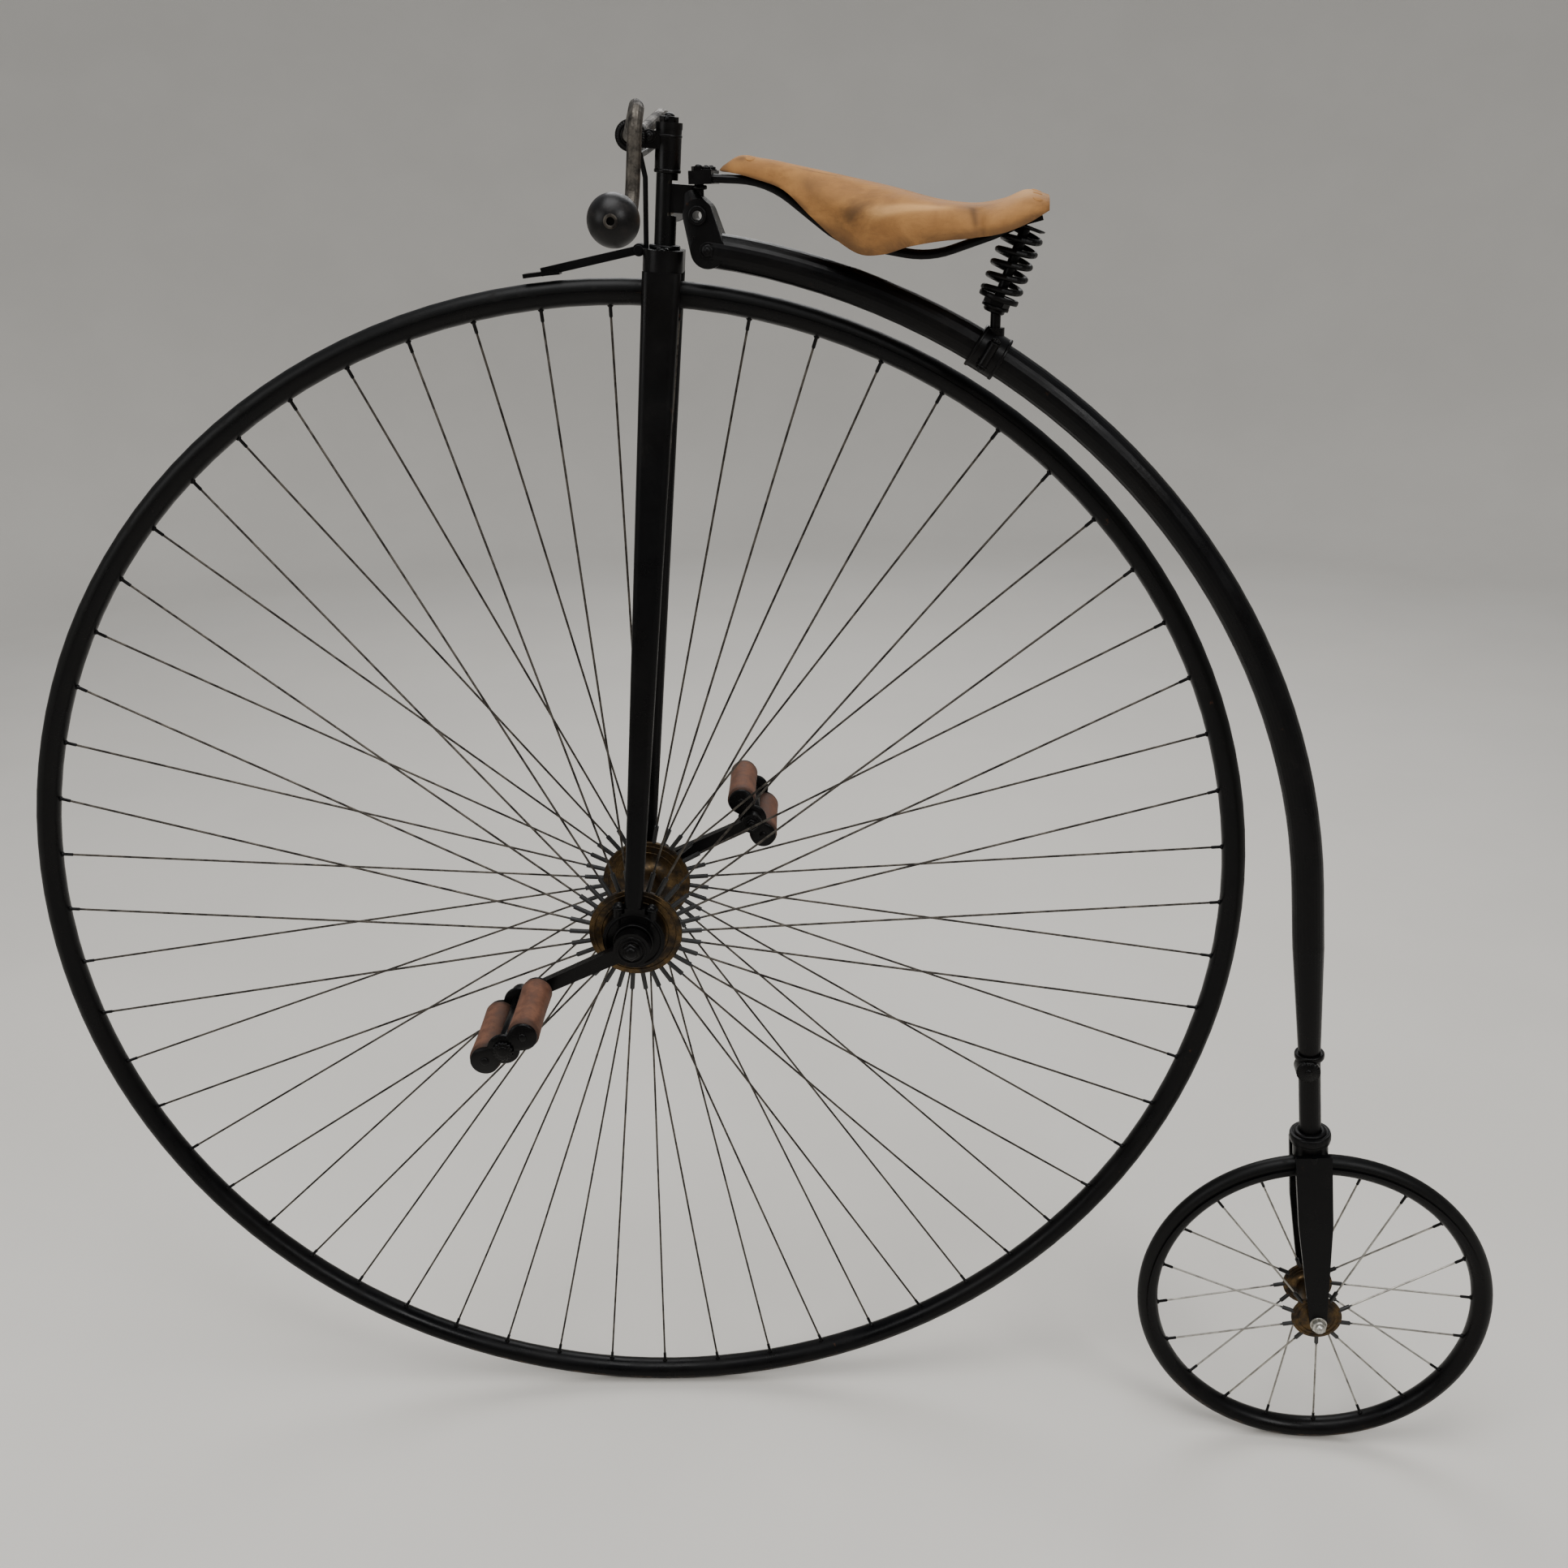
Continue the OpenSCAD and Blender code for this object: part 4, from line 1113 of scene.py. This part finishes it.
@dataclass
class Handlebar(Assembly):
    """The lug's ridged ends and pinch bolt, the head's cap nut, and the grips' ferrules and end bushes."""

    body: str = "fork"
    bar_x: float = 16.0
    bar_sweep: float = 19.0
    lug_half: float = 15.0
    bar_z: float = 814.0
    head_top: float = 822.0
    grip_z: float = 749.0
    reach: float = 325.0
    grip_length: float = 98.0

    def lug_ends(self) -> Piece:
        """Return the lug's round ends, cut in fine ridges, with two raised rings on each."""
        lathe, place = Lathe(40), steered_place()
        ridges = toothed(13.6, 0.5, 36, 180)
        for end in both_sides(place, self.bar_x + self.bar_sweep, self.lug_half, self.bar_z):
            lathe.turn(end, [(0, -8), (0, -8), (0.6, -7), (0.6, -1), (-0.6, 0.4), (0, 0.4)], outline=ridges)
            lathe.ring(end, 10.6, 0.5, 0.9, 1.3)
            lathe.ring(end, 8.0, 0.5, 1.6, 1.4)
        return self.piece("lug_ends", lathe)

    def head_bolts(self) -> Piece:
        """Return the pinch bolt across the lug, the collar's beads and the domed cap nut."""
        lathe, place = Lathe(32), steered_place()
        for pinch in both_sides(place, 17.5, 9.8, self.bar_z + 1):
            bolt_head(lathe, pinch, 9.6, 2.6, 30)
        lathe.ring(place, 11.6, self.head_top - 37, 1.8, 1.5)
        lathe.ring(place, 12.0, self.head_top - 6, 1.4, 1.1)
        lathe.turn(place, hexagon(17.6, self.head_top + 6, self.head_top + 11.4), 6, 12)
        lathe.turn(place, dome(5.4, self.head_top + 11, self.head_top + 15))
        return self.piece("head_bolts", lathe)

    def ferrules(self) -> Piece:
        """Return the collars where the grips meet the bar, and the bush round the hole in each grip's end."""
        lathe, place = Lathe(36), steered_place()
        for inner in both_sides(place, self.bar_x, self.reach - self.grip_length, self.grip_z):
            lathe.ring(inner, 8.6, -1.5, 3.2, 2.6)
        for outer in both_sides(place, self.bar_x, self.reach, self.grip_z):
            lathe.ring(outer, 4.4, -0.6, 0.9, 1.3, 28)
        return self.piece("grip_ferrules", lathe, Finish.STEEL)

    def build(self) -> None:
        """Build the handlebar's small pieces."""
        self.lug_ends()
        self.head_bolts()
        self.ferrules()


@dataclass
class Cranks(Assembly):
    """The axle nuts, the turned steps of the crank bosses and the nuts behind the pedal pins."""

    body: str = "front_wheel"
    length: float = 138.0
    rake: float = 4.8
    angle: float = 25.0
    inner: float = 97.0
    outer: float = 110.0
    axle_nut: float = 21.0
    pin_nut: float = 15.0

    def place(self, side: int) -> Place:
        """Return a crank's frame, x from the axle to the pedal pin."""
        return steered_place().turned_y(self.angle + self.rake + (0 if side > 0 else 180))

    def build(self) -> Piece:
        """Return the nuts and washers of both ends of the axle and of both pedal pins."""
        lathe = Lathe(36)
        for side in (-1, 1):
            face = across_place(self.place(side), 0, self.outer, 0, side)
            lathe.ring(face, 14.8, 0, 1.2, 1.4, 48)
            lathe.turn(face, round_head(12.0, -0.4, 1.4))
            lathe.turn(face, hexagon(self.axle_nut, 1.3, 6.6), 6, 8)
            lathe.turn(face, dome(6.6, 6.4, 9.6))
            back = across_place(self.place(side), self.length, -self.inner, 0, -side)
            bolt_head(lathe, back, self.pin_nut, 3.4, 12)
        return self.piece("crank_nuts", lathe)


@dataclass
class Pedals(Assembly):
    """The brown rubber blocks and the lobed plates that hold them."""

    rake: float = 4.8
    tilts: tuple = (34.0, -60.0)
    gap: float = 25.0
    block_r: float = 16.8
    disc_r: float = 17.0
    sleeve_r: float = 8.0
    plate_t: float = 4.0
    length: float = 102.0

    def place(self, side: int) -> Place:
        """Return a pedal's frame: origin on its spindle at the crank, x across the blocks, y to the left."""
        name, tilt = ("pedal_left", self.tilts[0]) if side > 0 else ("pedal_right", self.tilts[1])
        axes = steered_place().turned_y(tilt + self.rake).axes
        return Place(np.array(joint_named(name + "_spin")["pos_m"], float), axes)

    def blocks(self, side: int) -> Piece:
        """Return a pedal's two waisted blocks, with an attribute for painted shade near the plates and in the
        valley.

        Args:
            side: 1 for left or -1 for right.

        Returns:
            The piece.
        """
        name = "left" if side > 0 else "right"
        place, lathe = self.place(side), Lathe(44)
        low, high = self.plate_t, self.length - self.plate_t
        y = np.linspace(low, high, 34)
        waist = 0.7 * np.sin(math.pi * (y - low) / (high - low))
        r = self.block_r - waist - 1.6 * hump(np.minimum(y - low, high - y), 0, 1.1)
        profile = [(0, low), *zip(r.tolist(), y.tolist()), (0, high)]
        for x in (-self.gap, self.gap):
            lathe.turn(across_place(place, x, 0, 0, side), profile)
        piece = lathe.object(f"pedal_rubber_{name}")
        local = (np.vstack(lathe.points) - place.origin) @ place.axes / MM
        out = np.abs(local[:, 1])
        # painted shade: darker near the plates at both ends and in the valley between the two blocks
        ends = hump(np.minimum(out - low, high - out), 0, 7)
        valley = hump(np.abs(local[:, 0]), 8, 8)
        layer = piece.data.attributes.new("dirt_and_painted_shade", "FLOAT", "POINT")
        layer.data.foreach_set("value", np.clip(0.75 * ends + 0.7 * valley, 0, 1))
        return self.finishes.dress(piece, Finish.BLOCK, f"pedal_{name}", [f"pedal_blocks_{name}"])

    def lobes(self) -> np.ndarray:
        """Return the plate's outline as radii: the smooth larger of a middle disc and the two end lobes.

        A ray at angle a meets a lobe of radius r, whose centre is c from the middle, at
        c |cos a| + sqrt(r^2 - c^2 sin^2 a), and the root of the sum of ninth powers joins that to the disc.
        """
        a = np.arange(120) * TURN / 120
        lobe_r = self.block_r - 1.6
        under = np.clip(lobe_r**2 - (self.gap * np.sin(a)) ** 2, 0, None)
        lobe = np.where(under > 0, self.gap * np.abs(np.cos(a)) + np.sqrt(under), 0)
        return (lobe**9 + self.disc_r**9) ** (1 / 9)

    def cage(self, side: int) -> Piece:
        """Return a pedal's two lobed plates, its sleeve, its ribbed end nut and the studs of the blocks.

        Args:
            side: 1 for left or -1 for right.

        Returns:
            The piece.
        """
        name = "left" if side > 0 else "right"
        place, lathe, t = self.place(side), Lathe(32), self.plate_t
        middle = across_place(place, 0, 0, 0, side)
        for low in (0.0, self.length - t):
            high = low + t
            plate = [(0, low), (-1.0, low), (0, low + 0.9), (0, high - 0.9), (-1.0, high), (0, high)]
            lathe.turn(middle, plate, outline=self.lobes())
        end, r = self.length, self.sleeve_r
        lathe.turn(middle, [(0, 1), (r, 1), (r, end - 1), (0, end - 1)])
        lathe.turn(middle, [(0, end - 1), (0, end - 1), (0, end + 3.6), (-1.2, end + 4.8), (0, end + 4.8)],
                   outline=toothed(10.5, 0.6, 16, 96))
        lathe.turn(middle, dome(6.2, end + 4.8, end + 6.2))
        for x in (-self.gap, self.gap):
            for at, facing in ((end, side), (0.0, -side)):
                lathe.turn(across_place(place, x, at, 0, facing), dome(4.4, 0, 1.8))
        return self.finishes.dress(lathe.object(f"pedal_cage_{name}"), Finish.ENAMEL, f"pedal_{name}",
                                   [f"pedal_plates_{name}"])

    def build(self) -> None:
        """Build both pedals."""
        for side in (1, -1):
            self.blocks(side)
            self.cage(side)


# ---- Scene ----

@dataclass
class Studio:
    """The pale floor, the soft lights and the camera."""

    eye: tuple = (-0.0906, 1.5681, 0.0070)
    aim: tuple = (0.1323, 0.0, -0.6077)
    roll_degrees: float = -1.05
    lens_mm: float = 35.57
    floor_z: float = -1.449
    floor_r: tuple = (1, 11)
    rise: float = 6.0
    middle: tuple = (0.1, 0.0, -0.7)
    # Name, place, side and power of each lamp.
    lamps: tuple = (("overhead", (0.3, 0.9, 2.6), 2.2, 95), ("key", (-2.2, 2.4, 1.6), 1.4, 60),
                    ("fill", (2.8, 2.4, 0.8), 1.8, 34), ("back", (0.2, -3.0, 2.2), 2.4, 70))

    def camera(self) -> None:
        """Add the camera, which stands on the bicycle's left and looks a little down."""
        data = bpy.data.cameras.new("camera")
        data.lens, data.sensor_width = self.lens_mm, 36
        camera = bpy.data.objects.new("camera", data)
        bpy.context.scene.collection.objects.link(camera)
        camera.location = self.eye
        look = Vector(self.aim) - Vector(self.eye)
        camera.rotation_euler = look.to_track_quat("-Z", "Y").to_euler()
        camera.rotation_euler.rotate_axis("Z", math.radians(self.roll_degrees))
        bpy.context.scene.camera = camera

    def floor(self) -> None:
        """Add the floor, flat to 5 m from the middle, then rising by smooth_step((r - 5) / 6) of its rise."""
        sides, rings = 96, 60
        a, r = np.meshgrid(np.arange(sides) * TURN / sides, np.linspace(*self.floor_r, rings), indexing="ij")
        z = self.floor_z + self.rise * smooth_step((r - 5) / 6)
        points = np.stack([r * np.cos(a), r * np.sin(a), z], -1)
        faces = grid_faces(sides, rings, wrap_rows=True, wrap_columns=False).tolist()
        floor = add_mesh("floor", points, faces + [list(range(0, sides * rings, rings))])
        m = Material("pale_matt_paper", 0.85)
        floor.data.materials.append(m.done(m.mix(m.between(m.noise(400, 3), 0.3, 0.7), "#d3cfc8", "#d6d2cb")))

    def lights(self) -> None:
        """Add the soft area lights, aimed at the bicycle's middle, and the pale light of the room."""
        for name, at, size, power in self.lamps:
            data = bpy.data.lights.new(name, "AREA")
            data.energy, data.size = power, size
            light = bpy.data.objects.new(name, data)
            bpy.context.scene.collection.objects.link(light)
            light.location = at
            light.rotation_euler = (Vector(self.middle) - Vector(at)).to_track_quat("-Z", "Y").to_euler()
        world = bpy.data.worlds.new("soft_room")
        world.use_nodes = True
        room = world.node_tree.nodes["Background"].inputs
        room["Color"].default_value = linear_from_hex("#dfe2e6")
        room["Strength"].default_value = 0.5
        bpy.context.scene.world = world

    def build(self) -> None:
        """Build the studio."""
        self.camera()
        self.floor()
        self.lights()


def main() -> None:
    """Build everything in order."""
    logging.basicConfig(level=logging.INFO, format="%(name)s: %(message)s")
    Studio().build()
    finishes = Finishes()
    finishes.make()
    finishes.dress_nodes()
    for assembly in (Saddle, SaddleFittings, Neck, RearFork, RearWheel, Fork, Handlebar, FrontWheel, Cranks,
                     Pedals):
        assembly(finishes).build()


if __name__ == "__main__":
    main()
